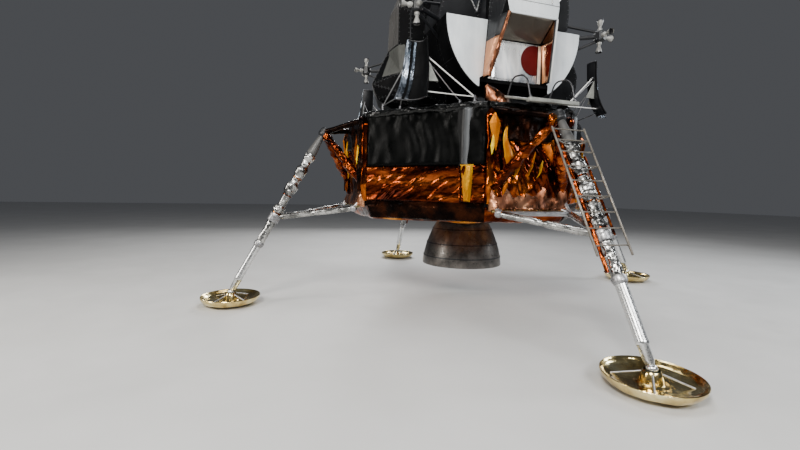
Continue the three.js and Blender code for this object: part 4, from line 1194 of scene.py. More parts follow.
def secondary_struts(side, at, seed):
    collar = on_leg(COLLAR_Z)
    top, low = at(collar - LEG_AXIS * 0.07, collar + LEG_AXIS * 0.07)
    parts = [turned(low, top - low,
                    [(0, 0.077), (0, 0.092), (0.012, 0.097), (0.045, 0.097), (0.05, 0.092), (0.09, 0.092),
                     (0.095, 0.097), (0.128, 0.097), (0.14, 0.092), (0.14, 0.077)], "bare_metal", 40)]
    for s in (-1, 1):
        foot = Vector((s * TRUSS_HALF, TRUSS_Y, TRUSS_Z))
        a, b = at(collar + (foot - collar).normalized() * 0.10, foot)
        parts.append(wrapped_rod(a, b, [(0, 0.034), (0.06, 0.046), (0.45, 0.048), (0.5, 0.036),
                                        (0.53, 0.046), (0.94, 0.047), (1, 0.036)], "silver_foil", 0.2, 0.08,
                                 seed + 20 + s, 22, 0.018))
        parts.append(ball(b, 0.06, "bare_metal", 24))
        for inboard, rise in ((0.0, 0.23), (0.17, 0.11)):
            brace = at(foot, (s * (TRUSS_HALF - inboard), -FACE_OUT, foot.z + rise))
            parts.append(rod(brace, 0.033, "bare_metal", 16))
    tube = at((-TRUSS_HALF, TRUSS_Y, TRUSS_Z), (TRUSS_HALF, TRUSS_Y, TRUSS_Z))
    parts.append(rod(tube, 0.037, "bare_metal", 18))
    joined(f"secondary_{side}", parts, f"secondary_struts_{side}")


def footpad(side, at, seed):
    foot, = at((0, BALL.y, 0))
    outside = [(0.03, 0.345), (0.06, 0.42), (0.10, 0.45), (0.145, 0.469)]
    inside = [(0.11, 0.430), (0.092, 0.40), (0.074, 0.33), (0.062, 0.26)]
    shell = [(0, 0), (0, 0.25), (0.012, 0.29), *outside, (0.15, 0.466), (0.146, 0.458), *inside,
             (0.058, 0.20), (0.060, 0.14), (0.075, 0.115), (0.15, 0.098), (0.185, 0.085), (0.195, 0.075)]
    parts = [turned(foot, up(1), shell, "gold_foil", 64, smooth=30)]
    films = (([(0.006, 0.262), *outside], 0.09), ([(0.148, 0.462), *inside, (0.058, 0.16)], 0.12))
    for k, (rows, fold) in enumerate(films, seed + 40):
        film = spun_surface(foot, rows)
        parts.append(sheet(film, "gold_foil", crumpled(0.012, fold, k, 1.2), 0.02, 0.006, 0.01, k, True))
    for way in (spoke(angle) for angle in angles(4, 0.5)):
        strap = [foot + way * 0.09 + up(0.165), foot + way * 0.36 + up(0.085)]
        parts.append(rod(strap, 0.010, "bare_metal", 10))
    joined(f"footpad_assembly_{side}", parts, f"footpad_{side}")


LADDER_LEVELS = (2.659, 2.519, 2.372, 2.196, 2.021, 1.842, 1.664, 1.489, 1.309)
LADDER_MIDDLE, LADDER_HALF, LADDER_OUT = -0.065, 0.240, 0.125


def rung_end(z, s):
    place = on_leg(z) + Vector((0, LEG_AXIS.z, -LEG_AXIS.y)) * LADDER_OUT
    return Vector((LADDER_MIDDLE + s * LADDER_HALF, place.y, place.z))


def ladder():
    parts = []
    for s in (-1, 1):
        top = rung_end(LADDER_LEVELS[0], s) - LEG_AXIS * 0.03
        foot = rung_end(LADDER_LEVELS[-1], s) + LEG_AXIS * 0.12
        parts.append(rod([top, top + LEG_AXIS * 0.008, foot - LEG_AXIS * 0.008, foot],
                         [0.009, 0.0127, 0.0127, 0.009], "ladder_metal", 18))
    for z in LADDER_LEVELS:
        a, b = rung_end(z, -1), rung_end(z, 1)
        parts.append(rod([a, b], 0.0083, "ladder_metal", 16))
        for end, way in ((a, b - a), (b, a - b)):
            step = way.normalized()
            parts.append(rod([end + step * 0.008, end + step * 0.030], 0.0110, "ladder_metal", 16))
    clamp = [(0.015, 0.070), (0.015, 0.084), (0.018, 0.088), (0.042, 0.088), (0.045, 0.084), (0.045, 0.070)]
    for z in LADDER_LEVELS[1:6:2]:
        centre = on_leg(z)
        parts.append(turned(centre - LEG_AXIS * 0.03, LEG_AXIS, clamp, "dark_metal", 36))
        for end in (rung_end(z, -1), rung_end(z, 1)):
            parts.append(rod([centre + (end - centre).normalized() * 0.08, end], 0.0095, "ladder_metal", 14))
    joined("ladder_assembly", parts, "ladder")


def legs():
    for side, degrees in LEG_SIDES.items():
        seed = 100 + degrees // 10
        for build in (outrigger, primary_strut, secondary_struts, footpad):
            build(side, turner(degrees), seed)
    ladder()


# Porch: a ribbed platform between white edge beams, with a tubular handrail on each side

PORCH_HALF, PORCH_FRONT, PORCH_REAR = 0.393, -2.606, -2.0
PORCH_FRONT_Z, PORCH_REAR_Z = DECK + 0.010, DECK + 0.180
PORCH_SLOPE = (PORCH_REAR_Z - PORCH_FRONT_Z) / (PORCH_REAR - PORCH_FRONT)
RAIL_OUT = 0.355


def porch_top(y):
    return PORCH_FRONT_Z + PORCH_SLOPE * (y - PORCH_FRONT)


def porch():
    half = PORCH_HALF - 0.01
    outline = ((-half, PORCH_FRONT + 0.03), (half, PORCH_FRONT + 0.03), (half, PORCH_REAR),
               (-half, PORCH_REAR))
    parts = [block((-PORCH_HALF, PORCH_FRONT - 0.010, PORCH_FRONT_Z - 0.035),
                   (PORCH_HALF, PORCH_FRONT + 0.070, PORCH_FRONT_Z + 0.015), "porch_paint", 0.008),
             plate([(x, y, porch_top(y) - 0.034) for x, y in outline], (0, -PORCH_SLOPE, 1), 0.012,
                   "porch_paint", 0.002)]
    y = PORCH_FRONT + 0.11
    while y < PORCH_REAR - 0.02:
        z = porch_top(y)
        parts.append(block((-PORCH_HALF + 0.03, y - 0.012, z - 0.026),
                           (PORCH_HALF - 0.03, y + 0.012, z - 0.004), "bare_metal", 0.003))
        y += 0.058
    for s in (-1, 1):
        x = s * (PORCH_HALF - 0.015)
        parts.append(rod([(x, PORCH_FRONT + 0.02, porch_top(PORCH_FRONT) - 0.014),
                          (x, PORCH_REAR, porch_top(PORCH_REAR) - 0.014)], 0.0125, "porch_paint", 14))
        arch = [(-2.02, 0.16), (-2.15, 0.403), (-2.39, 0.365), (-2.49, 0.29), (-2.58, 0.0)]
        path = rounded([(s * RAIL_OUT, y, DECK + z) for y, z in arch], 0.10, 8)
        parts.append(rod(path, 0.0115, "dark_metal", 14))
        parts.append(turned((s * RAIL_OUT, -2.575, PORCH_FRONT_Z + 0.008), up(1),
                            [(0, 0.034), (0.006, 0.034), (0.012, 0.02), (0.04, 0.0135), (0.04, 0)],
                            "dark_metal", 20))
        parts.append(block((s * 0.33 - 0.031, PORCH_REAR - 0.081, DECK),
                           (s * 0.33 + 0.031, PORCH_REAR - 0.019, PORCH_REAR_Z - 0.03), "grey_skin", 0.005))
        # Struts and pads under the porch: their black is painted shade, so that they sink into the shadow
        # under the platform.
        parts.append(rod([(s * 0.24, -2.46, PORCH_FRONT_Z - 0.02), (s * 0.215, -2.5, DECK - 0.15)], 0.027,
                         "black_blanket", 16))
        parts.append(block((s * 0.235 - 0.05, -2.53, PORCH_FRONT_Z - 0.062),
                           (s * 0.235 + 0.05, -2.42, PORCH_FRONT_Z - 0.032), "black_blanket", 0.005))
    joined("porch_assembly", parts, "porch")


# Plume deflectors: a curved trough under each thruster cluster on white struts

TROUGH_HEIGHTS = np.array([0.09, 0.32, 0.64, 0.96])
TROUGH_OUT = np.polyfit(TROUGH_HEIGHTS, [2.310, 2.200, 2.140, 2.120], 3)
TROUGH_HALF = np.polyfit(TROUGH_HEIGHTS, [0.250, 0.220, 0.190, 0.150], 3)
TROUGH_SWEEP = 0.13
# Posts on the deck: distance to the side, distance out, height. Struts: distance to the side and height of
# the upper end, the post they stand on, radius
TROUGH_POSTS = {"outer": (0.760, 1.880, 0.170), "inner": (0.500, 1.780, 0.150)}
TROUGH_STRUTS = ((0.150, 0.700, "outer", 0.0095), (0.150, 0.640, "inner", 0.0075),
                 (0.170, 0.190, "outer", 0.0080))
# The sheets of a trough: depth behind its front and the way they face, for the front, the back and the rims
TROUGH_LAYERS = ((0, 1), (0.014, -1), (0.007, 1))


def trough(degrees, left=-1.0, right=1.0, low=0.09, high=0.96, inset=0.0, facing=1):
    """Part of the trough's surface, between shares of its half-width and heights over the deck."""
    angle = math.radians(degrees)

    def surface(u, v):
        t = left + (right - left) * (u if facing > 0 else 1 - u)
        height = low + (high - low) * v
        x = t * np.polyval(TROUGH_HALF, height)
        y = inset - (np.polyval(TROUGH_OUT, height) + TROUGH_SWEEP * t ** 2)
        return np.stack([x * math.cos(angle) - y * math.sin(angle), x * math.sin(angle) + y * math.cos(angle),
                         DECK + height], axis=1)

    return surface


def plume_deflector(corner):
    degrees, sx, sy = CORNERS[corner]
    seed = 200 + degrees // 10
    bright = 1 if sx != sy else -1          # the edge that carries the silver strips
    at = turner(degrees)
    front, back, middle = (trough(degrees, inset=depth, facing=way) for depth, way in TROUGH_LAYERS)
    parts = [sheet(front, "black_blanket", rolling(0.004, 0.25, seed, 2.0), 0.025, 0.003, 0.02, seed,
                   smooth=60),
             sheet(back, "dark_skin", None, 0.04, 0.002, 0.02, seed + 1, smooth=60)]
    for edge in (0, 1):
        path = front(np.full(14, float(edge)), np.linspace(0, 1, 14))
        rng = np.random.RandomState(seed + edge)
        radii = [0.011 * rng.uniform(0.75, 1.25) for _ in path]
        parts.append(rod(path, radii, "blue_foil" if (edge == 1) == (bright == 1) else "black_blanket", 8))
    for level in (0.0, 1.0):
        parts.append(rod(middle(np.linspace(0, 1, 15), np.full(15, level)), 0.009, "dark_metal", 10))
    for start, end in ((0.70, 0.97), (0.36, 0.60)):
        left, right = sorted((bright * start, bright * end))
        parts.append(sheet(trough(degrees, left, right, 0.10, 0.95), "blue_foil",
                           crumpled(0.018, 0.09, seed + 4, 2.8), 0.011, 0.012, 0.012, seed + 4))
    for x, z, post, radius in TROUGH_STRUTS:
        foot_x, out, height = TROUGH_POSTS[post]
        half, mid = np.polyval(TROUGH_HALF, z), np.polyval(TROUGH_OUT, z)
        y = -(mid + TROUGH_SWEEP * (x / half) ** 2 - 0.010)
        for s in (-1, 1):
            a, b = at((s * x, y, DECK + z), (s * foot_x, -out, DECK + height - 0.02))
            look = "white_paint" if s != bright and post == "outer" else "bare_metal"
            parts.append(rod([a, b], radius, look, 12))
            parts.append(rod([a, a + (b - a).normalized() * 0.045], radius * 1.5, "bare_metal", 12))
    for x, out, height in TROUGH_POSTS.values():
        for foot in at((-x, -out, DECK + 0.002), (x, -out, DECK + 0.002)):
            post = [(0, 0), (0, 0.055), (0.012, 0.055), (0.02, 0.042), (height - 0.02, 0.024),
                    (height, 0.020), (height + 0.004, 0)]
            parts.append(turned(foot, up(1), post, "dark_metal", 20))
    for s in (-1, 1):
        a, b, c = at((s * 0.175, -2.235, DECK + 0.64), (s * 0.29, -2.13, DECK + 0.36),
                     (s * 0.185, -2.245, DECK + 0.35))
        parts.append(plate([a, b, c], (b - a).cross(c - a), 0.008, "porch_paint", 0.002))
    joined(f"deflector_{corner}", parts, f"plume_deflector_{corner}")


# Thruster clusters: a dark housing, four pale bells and the boom to the ascent stage

def bell_profile():
    flare = [(k / 8, 0.021 + 0.029 * (1 - (1 - k / 8) ** 1.6)) for k in range(9)]
    inside = [(1 - k / 5, 0.014 + 0.033 * (1 - (k / 5) ** 1.6)) for k in range(6)]
    return [(0.045, 0), (0.045, 0.030), (0.060, 0.038), (0.122, 0.038), (0.130, 0.030), (0.148, 0.0215),
            *[(0.155 + 0.096 * t, radius) for t, radius in flare], (0.252, 0.0525), (0.2545, 0.0525),
            (0.2545, 0.0475), *[(0.165 + 0.085 * t, radius) for t, radius in inside], (0.160, 0)]


# The parts of one nozzle: profile, look and the largest angle that is shaded over
NOZZLE = (
    (bell_profile(), "bell_metal", 40),
    ([(0.163, 0), (0.166, 0.0145), (0.21, 0.036), (0.243, 0.0462), (0.243, 0.0452)], "dark_metal", 50),
    ([(0.246, 0.050), (0.246, 0.0535), (0.2555, 0.0535), (0.2555, 0.0465), (0.250, 0.0465)], "dark_metal",
     30),
    ([(0.056, 0.037), (0.056, 0.045), (0.068, 0.045), (0.068, 0.037)], "bare_metal", 35),
)


QUAD_OUT = 1.608


def thruster_quad(corner):
    _, sx, sy = CORNERS[corner]
    centre = Vector((sx * QUAD_OUT, sy * QUAD_OUT, CABIN_Z + 0.045))
    housing = [(-0.088, 0), (-0.088, 0.060), (-0.078, 0.078), (-0.062, 0.090), (0.062, 0.090), (0.078, 0.078),
               (0.088, 0.060), (0.088, 0)]
    parts = [turned(centre, up(1), housing, "dark_skin", 8, smooth=20)]
    for way in (up(1), up(-1), Vector((sx, 0, 0)), Vector((0, sy, 0))):
        parts += [turned(centre, way, profile, look, 28, smooth=smooth) for profile, look, smooth in NOZZLE]
    root = Vector((sx * 1.0, -1.2, centre.z)) if sy < 0 else Vector((sx * 0.94, 1.4, centre.z))
    for rise, drop, radius in ((0, 0, 0.033), (-0.06, -0.33, 0.021), (0.06, 0.28, 0.021)):
        start, end = centre + up(rise), root + up(drop)
        parts.append(rod([start, end], radius, "dark_skin", 16))
        parts.append(rod([end, end + (start - end).normalized() * 0.17], radius * 1.35, "dark_metal", 16))
    places = []
    for way in (spoke(angle) for angle in angles(8, 0.5)):
        places += [(centre + way * 0.0835 + up(h), way) for h in (-0.05, 0.05)]
    parts.append(studs(places, "bare_metal", 0.004))
    joined(f"thruster_{corner}", parts, f"thruster_quad_{corner}")


# Cabin: curved skin plates on the drum, pale D-shaped panels, window frames, nose and hatch

def drum_plate(low, high, y0, y1, look):
    """A curved plate on the cabin drum between two angles in degrees, 0 to port and 90 up."""
    steps = max(3, round((high - low) / 4))
    gap, rise = 0.35, 0.006
    turns = np.radians(np.linspace(low + gap, high - gap, steps + 1))
    ys = np.linspace(y0 + 0.006, y1 - 0.006, 4)
    rings = [(y, rise + 0.002 * math.sin(k * 2.1 + low)) for k, y in enumerate(ys)]
    vertices = []
    for y, lift in [(ys[0], -0.003), *rings, (ys[-1], -0.003)]:
        radius = CABIN_RADIUS + lift
        vertices += [(radius * math.cos(a), y, CABIN_Z + radius * math.sin(a)) for a in turns]
    row = len(turns)
    faces = [(a + 1, a + row + 1, a + row, a) for a in range(len(vertices) - row) if (a + 1) % row]
    return piece(vertices, faces, look, "lander", 30)


def cabin_drum():
    ring = [(k, k + 30) for k in range(-180, 180, 30)]
    front = [(-180, -150), (-150, -122), (-58, -30), (-30, -1), (43, 67), (67, 90), (90, 113), (113, 137)]
    bands = [(CABIN_FRONT, -1.29, front), (-1.28, -0.93, ring), (-0.92, -0.56, ring)]
    looks = ("dark_skin", "dark_skin", "grey_skin", "dark_skin", "dark_skin")
    plates, places = [], []
    for j, (y0, y1, arcs) in enumerate(bands):
        for k, (low, high) in enumerate(arcs):
            look = looks[(2 * j + k) % 5] if low > -120 else "black_blanket"
            plates.append(drum_plate(low, high, y0, y1, look))
            for way in (spoke(angle, True) for angle in np.radians(np.arange(low + 2.0, high - 1.0, 3.5))):
                places += [(Vector((0, y, CABIN_Z)) + way * (CABIN_RADIUS + 0.006), way)
                           for y in (y0 + 0.024, y1 - 0.024)]
    joined("drum_skin", plates + [studs(places, "dark_metal", 0.0045)])


PANEL_RADIUS = CABIN_RADIUS - 0.008
FORWARD = Vector((0, -1, 0))


def d_panel(name, s):
    """A pale panel that follows the drum's curve on its outer side."""
    x, z = 0.61, 0.37
    inner = [(0.50, CABIN_RISE), (0.556, 0.53), (x, 0.50), (x, z)]
    tip = math.atan2(z - CABIN_RISE, x)
    arc = [(PANEL_RADIUS * math.cos(tip * t), CABIN_RISE + PANEL_RADIUS * math.sin(tip * t))
           for t in np.linspace(1, 0, 28)]
    outline = [Vector((s * x, CABIN_FRONT, DECK + z)) for x, z in inner + arc[1:]]
    plate(outline, FORWARD, 0.012, "white_skin", 0.004, name=name)


def window_frame(s):
    """A raised frame round the triangular pane, in the sloping plane of the window bay."""
    low = Vector((0, -1.287, CABIN_Z))
    along = (Vector((0, CABIN_FRONT, CABIN_Z + 0.798)) - low).normalized()
    out = Vector((0, -along.z, along.y))
    a, b, c = [Vector((s * x, 0, 0)) + low + along * rise + out * 0.006
               for x, rise in ((0.55, 0.712), (0.955, 0.712), (0.55, 0.225))]
    return rod(rounded([(a + b) / 2, b, c, a, (a + b) / 2], 0.03, 4), 0.014, "bright_metal", 12)


def mirrored(corners):
    """The corners of a quad with left and right changed over."""
    return [corners[1], corners[0], corners[3], corners[2]]


# Side walls of the nose: distance to the side, front and height over the deck of the foot, and thickness
NOSE_HALF, NOSE_FRONT, NOSE_FOOT = 0.547, -1.789, 0.501
NOSE_WALL = 0.046


def cheek(s, low, high):
    """Corners of a band of the nose's side wall between two heights over the deck, from outside."""
    def edge(z):
        t = (z - NOSE_FOOT) / 0.82
        return (Vector((s * (NOSE_HALF - 0.141 * t), NOSE_FRONT - 0.29 * t, DECK + z)),
                Vector((s * (NOSE_HALF - 0.067 * (z - NOSE_FOOT)), CABIN_FRONT - 0.004, DECK + z)))

    (front_low, back_low), (front_high, back_high) = edge(low), edge(high)
    corners = [front_low, back_low, back_high, front_high]
    return corners if s > 0 else mirrored(corners)


def nose_skin():
    def look(centre, normal, area):
        if normal.y < -0.6:
            return "white_skin" if centre.z < DECK + 2.0 else "grey_skin"
        return "dark_skin"

    regions = []
    for region, normal in merged_faces("nose_shroud"):
        centre = sum(region, Vector()) / len(region)
        if centre.z > DECK + 1.33 and centre.y < CABIN_FRONT - 0.02:
            regions.append((region, normal))
    skin("nose_skin", regions, look, rise=0.006, wave=0.002, cell=0.07, rivets=0.06, width=None)


def nose_side(s):
    """Foils on the outer and inner faces of a side wall of the nose, and the edge between them."""
    copper = draped("nose_shroud", flat(cheek(s, 0.51, 1.04)), (-s, 0, 0))
    dark = draped("nose_shroud", flat(cheek(s, 1.05, 1.31)), (-s, 0, 0))
    low_x, back = s * (NOSE_HALF - NOSE_WALL - 0.004), CABIN_FRONT - 0.006
    wall = [(low_x, -1.785, DECK + 0.505), (low_x, back, DECK + 0.505),
            (s * (0.46 - 0.004), back, DECK + 1.10), (s * 0.358, -2.070, DECK + 1.312)]
    inner = draped("nose_shroud", flat(wall if s < 0 else mirrored(wall)), (s, 0, 0), 0.2)
    creases, waves = crumpled(0.010, 0.2, 301 + s, 2.0, 30), rolling(0.0015, 0.35, 305 + s, 2.0)
    parts = [sheet(copper, "copper_panel", creases, 0.022, 0.016, 0.012, 301 + s, smooth=60),
             sheet(dark, "dark_skin", None, 0.04, 0.010, 0.01, 303 + s, smooth=60),
             sheet(inner, "copper_mirror", waves, 0.02, 0.005, 0.02, 305 + s, smooth=60)]
    edge = [Vector((s * 0.538, -1.79, DECK + 0.50)), Vector((s * 0.400, -2.075, DECK + 1.315))]
    if s < 0:
        return parts + [wrapped_rod(*edge, [(0, 0.030), (0.3, 0.040), (0.6, 0.028), (1, 0.022)],
                                    "copper_foil", 0.5, 0.07, 307, 22, 0.014, 1.8)]
    return parts + [rod(edge, 0.016, "white_paint", 12),
                    rod([p + Vector((-0.03, -0.003, 0)) for p in edge], 0.013, "dark_metal", 12)]


def nose():
    nose_skin()
    parts = nose_side(-1) + nose_side(1)
    brow = [(-0.452, -1.60, DECK + 1.10), (0.452, -1.60, DECK + 1.10), (0.352, -2.074, DECK + 1.314),
            (-0.352, -2.074, DECK + 1.314)]
    parts.append(sheet(flat(brow), "brown_mirror", rolling(0.001, 0.5, 309, 1.0), 0.025, 0.006, 0.02, 309,
                       smooth=60))
    parts.append(block((-0.40, -2.088, DECK + 1.300), (0.40, -2.066, DECK + 1.330), "white_skin", 0.005))
    joined("nose_trim", parts)
    # Crumpled copper film bunched on the deck under the starboard corner of the hatchway
    bunch = [(0, 0.17), (0.3, 0.16), (0.7, 0.11), (1, 0.03)]
    wrapped_rod((-0.36, -1.88, DECK + 0.01), (-0.60, -1.84, DECK + 0.34), bunch, "copper_foil", 0.5, 0.17,
                311, 30, 0.022, 1.8, 35, "copper_bunch")


HATCH_LOW, HATCH_HIGH, HATCH_HALF = DECK + 0.502, DECK + 1.090, 0.40


def front_hatch():
    y = CABIN_FRONT - 0.001
    half, low, high = HATCH_HALF - 0.006, HATCH_LOW + 0.006, HATCH_HIGH - 0.006
    parts = [sheet(flat([(-half, y, low), (half, y, low), (half, y, high), (-half, y, high)]), "mirror",
                   rolling(0.002, 0.5, 321, 3.0), 0.015, 0.006, 0.03, 321, body="front_hatch", smooth=60)]
    centre, radius, edge = Vector((0.317, y - 0.014, DECK + 0.846)), 0.225, HATCH_HALF - 0.012
    stop = math.acos((edge - centre.x) / radius)
    outline = [centre + spoke(a, True) * radius for a in np.linspace(stop, 2 * math.pi - stop, 40)]
    parts.append(plate(outline, FORWARD, 0.003, "red_disc", 0.001, "front_hatch"))
    rim = [(x, z) for x in np.linspace(-0.37, 0.37, 14) for z in (HATCH_LOW + 0.02, HATCH_HIGH - 0.02)]
    rim += [(x, z) for z in np.linspace(HATCH_LOW + 0.06, HATCH_HIGH - 0.06, 9) for x in (-0.38, 0.38)]
    parts.append(studs([(Vector((x, y - 0.004, z)), FORWARD) for x, z in rim], "bare_metal", 0.005,
                       "front_hatch"))
    joined("hatch_face", parts)


def panel_fasteners():
    y, radius = CABIN_FRONT - 0.012, PANEL_RADIUS - 0.025
    places = []
    for s in (-1, 1):
        places += [(s * radius * math.cos(a), CABIN_Z + radius * math.sin(a))
                   for a in np.radians(np.linspace(-54, -3, 22))]
        places += [(s * x, CABIN_Z - 0.022) for x in np.linspace(0.54, 1.11, 9)]
        places += [(s * (0.525 + 0.054 * t), CABIN_Z - 0.07 - 0.70 * t) for t in np.linspace(0, 1, 11)]
    studs([(Vector((x, y, z)), FORWARD) for x, z in places], "bare_metal", 0.004, name="panel_fasteners")


def window_bays():
    faces = []
    for region, normal in merged_faces("crew_cabin"):
        centre = sum(region, Vector()) / len(region)
        aside = abs(centre.x)
        sloping = normal.y < -0.8 and CABIN_FRONT + 0.005 < centre.y < -1.26
        ledge = abs(normal.z) > 0.7 and centre.y < -1.25
        if (sloping and centre.z > CABIN_Z and aside > 0.45
                or ledge and centre.z > CABIN_Z - 0.05 and 0.5 < aside < 1.2):
            faces.append((region, normal))
    skin("window_bay_skin", faces, lambda *region: "dark_skin", rise=0.004, wave=0.0015, cell=0.08,
         least=0.004, rivets=0.05, width=None)


def cabin_front():
    d_panel("lower_panel_starboard", -1)
    d_panel("lower_panel_port", 1)
    low, high = HATCH_LOW + 0.004, HATCH_HIGH - 0.004
    strips = []
    for s in (-1, 1):
        near, far = s * (HATCH_HALF + 0.008), s * 0.462
        outline = [(x, CABIN_FRONT, z) for x, z in ((near, low), (far, low), (far, high), (near, high))]
        strips.append(plate(outline, FORWARD, 0.007, "cream_mirror", 0.003))
    joined("hatch_jambs", strips)
    panel_fasteners()
    joined("window_frames", [window_frame(-1), window_frame(1)])
    window_bays()
    nose()
    front_hatch()
    cabin_drum()


# Skins of the midsection, the aft bay and the tank fairings

def aft_look(centre, normal, area):
    if normal.y < -0.9:
        return None
    return "dark_skin" if normal.y <= 0.9 and abs(normal.z) > 0.5 else "grey_skin"


def mid_look(centre, normal, area):
    if area <= 0.02 or not (abs(centre.x) > 0.745 or centre.z > DECK + 2.39 or centre.y > 0.845):
        return None
    return "grey_skin" if normal.z > 0.5 else "dark_skin" if abs(normal.x) > 0.9 else None


def fairing_skin(side, s):
    def look(centre, normal, area):
        height = centre.z - DECK
        if normal.x * s < -0.7 or height < 0.27:
            return None
        if normal.y < -0.25 or (normal.y < 0.1 and height < 1.3):
            return "black_blanket"
        return "dark_skin" if height < 0.56 or abs(normal.z) > 0.6 else "fairing_grey"

    regions = [(region, normal) for region, normal in merged_faces(f"tank_fairing_{side}")
               if area_of(region, normal) > 0.02]
    skin(f"fairing_skin_{side}", regions, look, rise=0.006, wave=0.004, cell=0.11, rivets=0.07, width=0.8)


def box_skins():
    skin("aft_bay_skin", merged_faces("aft_bay"), aft_look, rise=0.007, wave=0.002, cell=0.10, rivets=0.06,
         width=0.52)
    skin("midsection_skin", merged_faces("midsection"), mid_look, rise=0.005, wave=0.002, cell=0.1,
         rivets=0.06, width=0.6)
    fairing_skin("port", 1)
    fairing_skin("starboard", -1)
    # One smooth pale sheet over the lower front facets of the starboard fairing
    quad = [(-1.75, -0.24, DECK + 0.74), (-1.44, -0.72, DECK + 0.77), (-1.49, -0.72, DECK + 1.20),
            (-1.60, -0.18, DECK + 1.235)]
    sheet(draped("tank_fairing_starboard", flat(quad), (0.8, 0.5, 0)), "panel_grey",
          rolling(0.002, 0.3, 331, 1.0), 0.025, 0.016, 0.02, 331, smooth=70, name="fairing_panel")


# The outer face of the aft bay's skin, and the radiator fins in a row
AFT_FACE = 1.64 + 0.007
FINS = 13


def aft_equipment():
    """Radiator fins, access doors and pipes on the aft bay."""
    y = AFT_FACE
    parts = []
    for x0, x1, z0, z1 in ((-0.82, -0.34, DECK + 1.28, DECK + 1.86), (0.36, 0.84, DECK + 0.46, DECK + 1.02)):
        for x in (x0 + (x1 - x0) * (k + 0.5) / FINS for k in range(FINS)):
            parts.append(block((x - 0.004, y - 0.004, z0), (x + 0.004, y + 0.020, z1), "pale_skin", 0.0015))
    for x0, x1, z0, z1 in ((-0.25, 0.25, DECK + 1.32, DECK + 1.84), (-0.82, -0.36, DECK + 0.46, DECK + 1.0)):
        outline = [(x, y - 0.002, z) for x, z in ((x1, z0), (x0, z0), (x0, z1), (x1, z1))]
        parts.append(plate(outline, (0, 1, 0), 0.010, "pale_skin", 0.004))
        for z in (z0 + 0.08, z1 - 0.08):
            hinge = [(x0 - 0.008, y + 0.006, z - 0.04), (x0 - 0.008, y + 0.006, z + 0.04)]
            parts.append(rod(hinge, 0.008, "bare_metal", 12))
        low, high = (z0 + z1) / 2 - 0.05, (z0 + z1) / 2 + 0.05
        grip = [(x1 - 0.07, y + out, z) for out, z in ((0, low), (0.030, low), (0.030, high), (0, high))]
        parts.append(rod(rounded(grip, 0.015), 0.006, "bright_metal", 10))
    for x in (-0.06, 0.0, 0.06):
        pipe = [(x + dx, y + 0.014, DECK + z) for dx, z in ((0, 0.30), (0, 0.72), (0.18, 0.86), (0.18, 1.18))]
        parts.append(rod(rounded(pipe, 0.06), 0.009, "bright_metal", 12))
    joined("aft_equipment", parts)


# Roof: docking ring, hatch, dishes, aerials and handholds

TUNNEL_Y = 0.12
ROOF_Z = DECK + 2.4


def docking():
    foot = Vector((0, TUNNEL_Y, DECK + 2.4003))
    profile = [(0, 0.412), (0, 0.532), (0.010, 0.536), (0.030, 0.530), (0.045, 0.478), (0.20, 0.466),
               (0.372, 0.456), (0.380, 0.462), (0.384, 0.490), (0.392, 0.496), (0.420, 0.496),
               (0.4297, 0.488), (0.4297, 0.420), (0.424, 0.413), (0.30, 0.412), (0, 0.412)]

    def place(height, radius, angle):
        return Vector((0, TUNNEL_Y, foot.z + height)) + spoke(angle) * radius

    places = []
    for angle in angles(24, 0.5):
        places += [(place(0.0285, 0.512, angle), up(1)), (place(0.406, 0.496, angle), spoke(angle))]
    parts = [turned(foot, up(1), profile, "bare_metal", 96), studs(places, "bright_metal", 0.008)]
    parts += [rod([place(0.05, 0.484, angle), place(0.37, 0.463, angle)], 0.010, "bare_metal", 10)
              for angle in angles(12)]
    for base in (place(0.33, 0.405, angle + 0.5) for angle in angles(3)):
        parts.append(rod([base, base + up(0.08)], 0.014, "bright_metal", 14))
    joined("docking_ring_assembly", parts, "docking_ring")


def roof_hatch():
    profile = [(0.0, 0.398), (0.012, 0.398), (0.018, 0.390), (0.018, 0.36), (0.010, 0.35), (0.004, 0.34),
               (0.004, 0.10), (0.012, 0.09), (0.022, 0.07), (0.022, 0)]
    parts = [turned((0, TUNNEL_Y, ROOF_Z), up(1), profile, "pale_skin", 64, "overhead_hatch")]
    for way in (spoke(angle) for angle in angles(6)):
        a, b = Vector((0, TUNNEL_Y, ROOF_Z + 0.006)), Vector((0, TUNNEL_Y, ROOF_Z + 0.010))
        parts.append(rod([a + way * 0.085, b + way * 0.352], 0.009, "bare_metal", 10, "overhead_hatch"))
    joined("roof_hatch", parts)


# Columns: name, foot of the yoke, half the distance between its arms, height of the axis, radius of the dish
DISHES = (("radar", 0, -1.2, 5.876, 0.34, 0.43, 0.305), ("antenna", -1.1, -0.1, 5.90, 0.365, 0.46, 0.33))


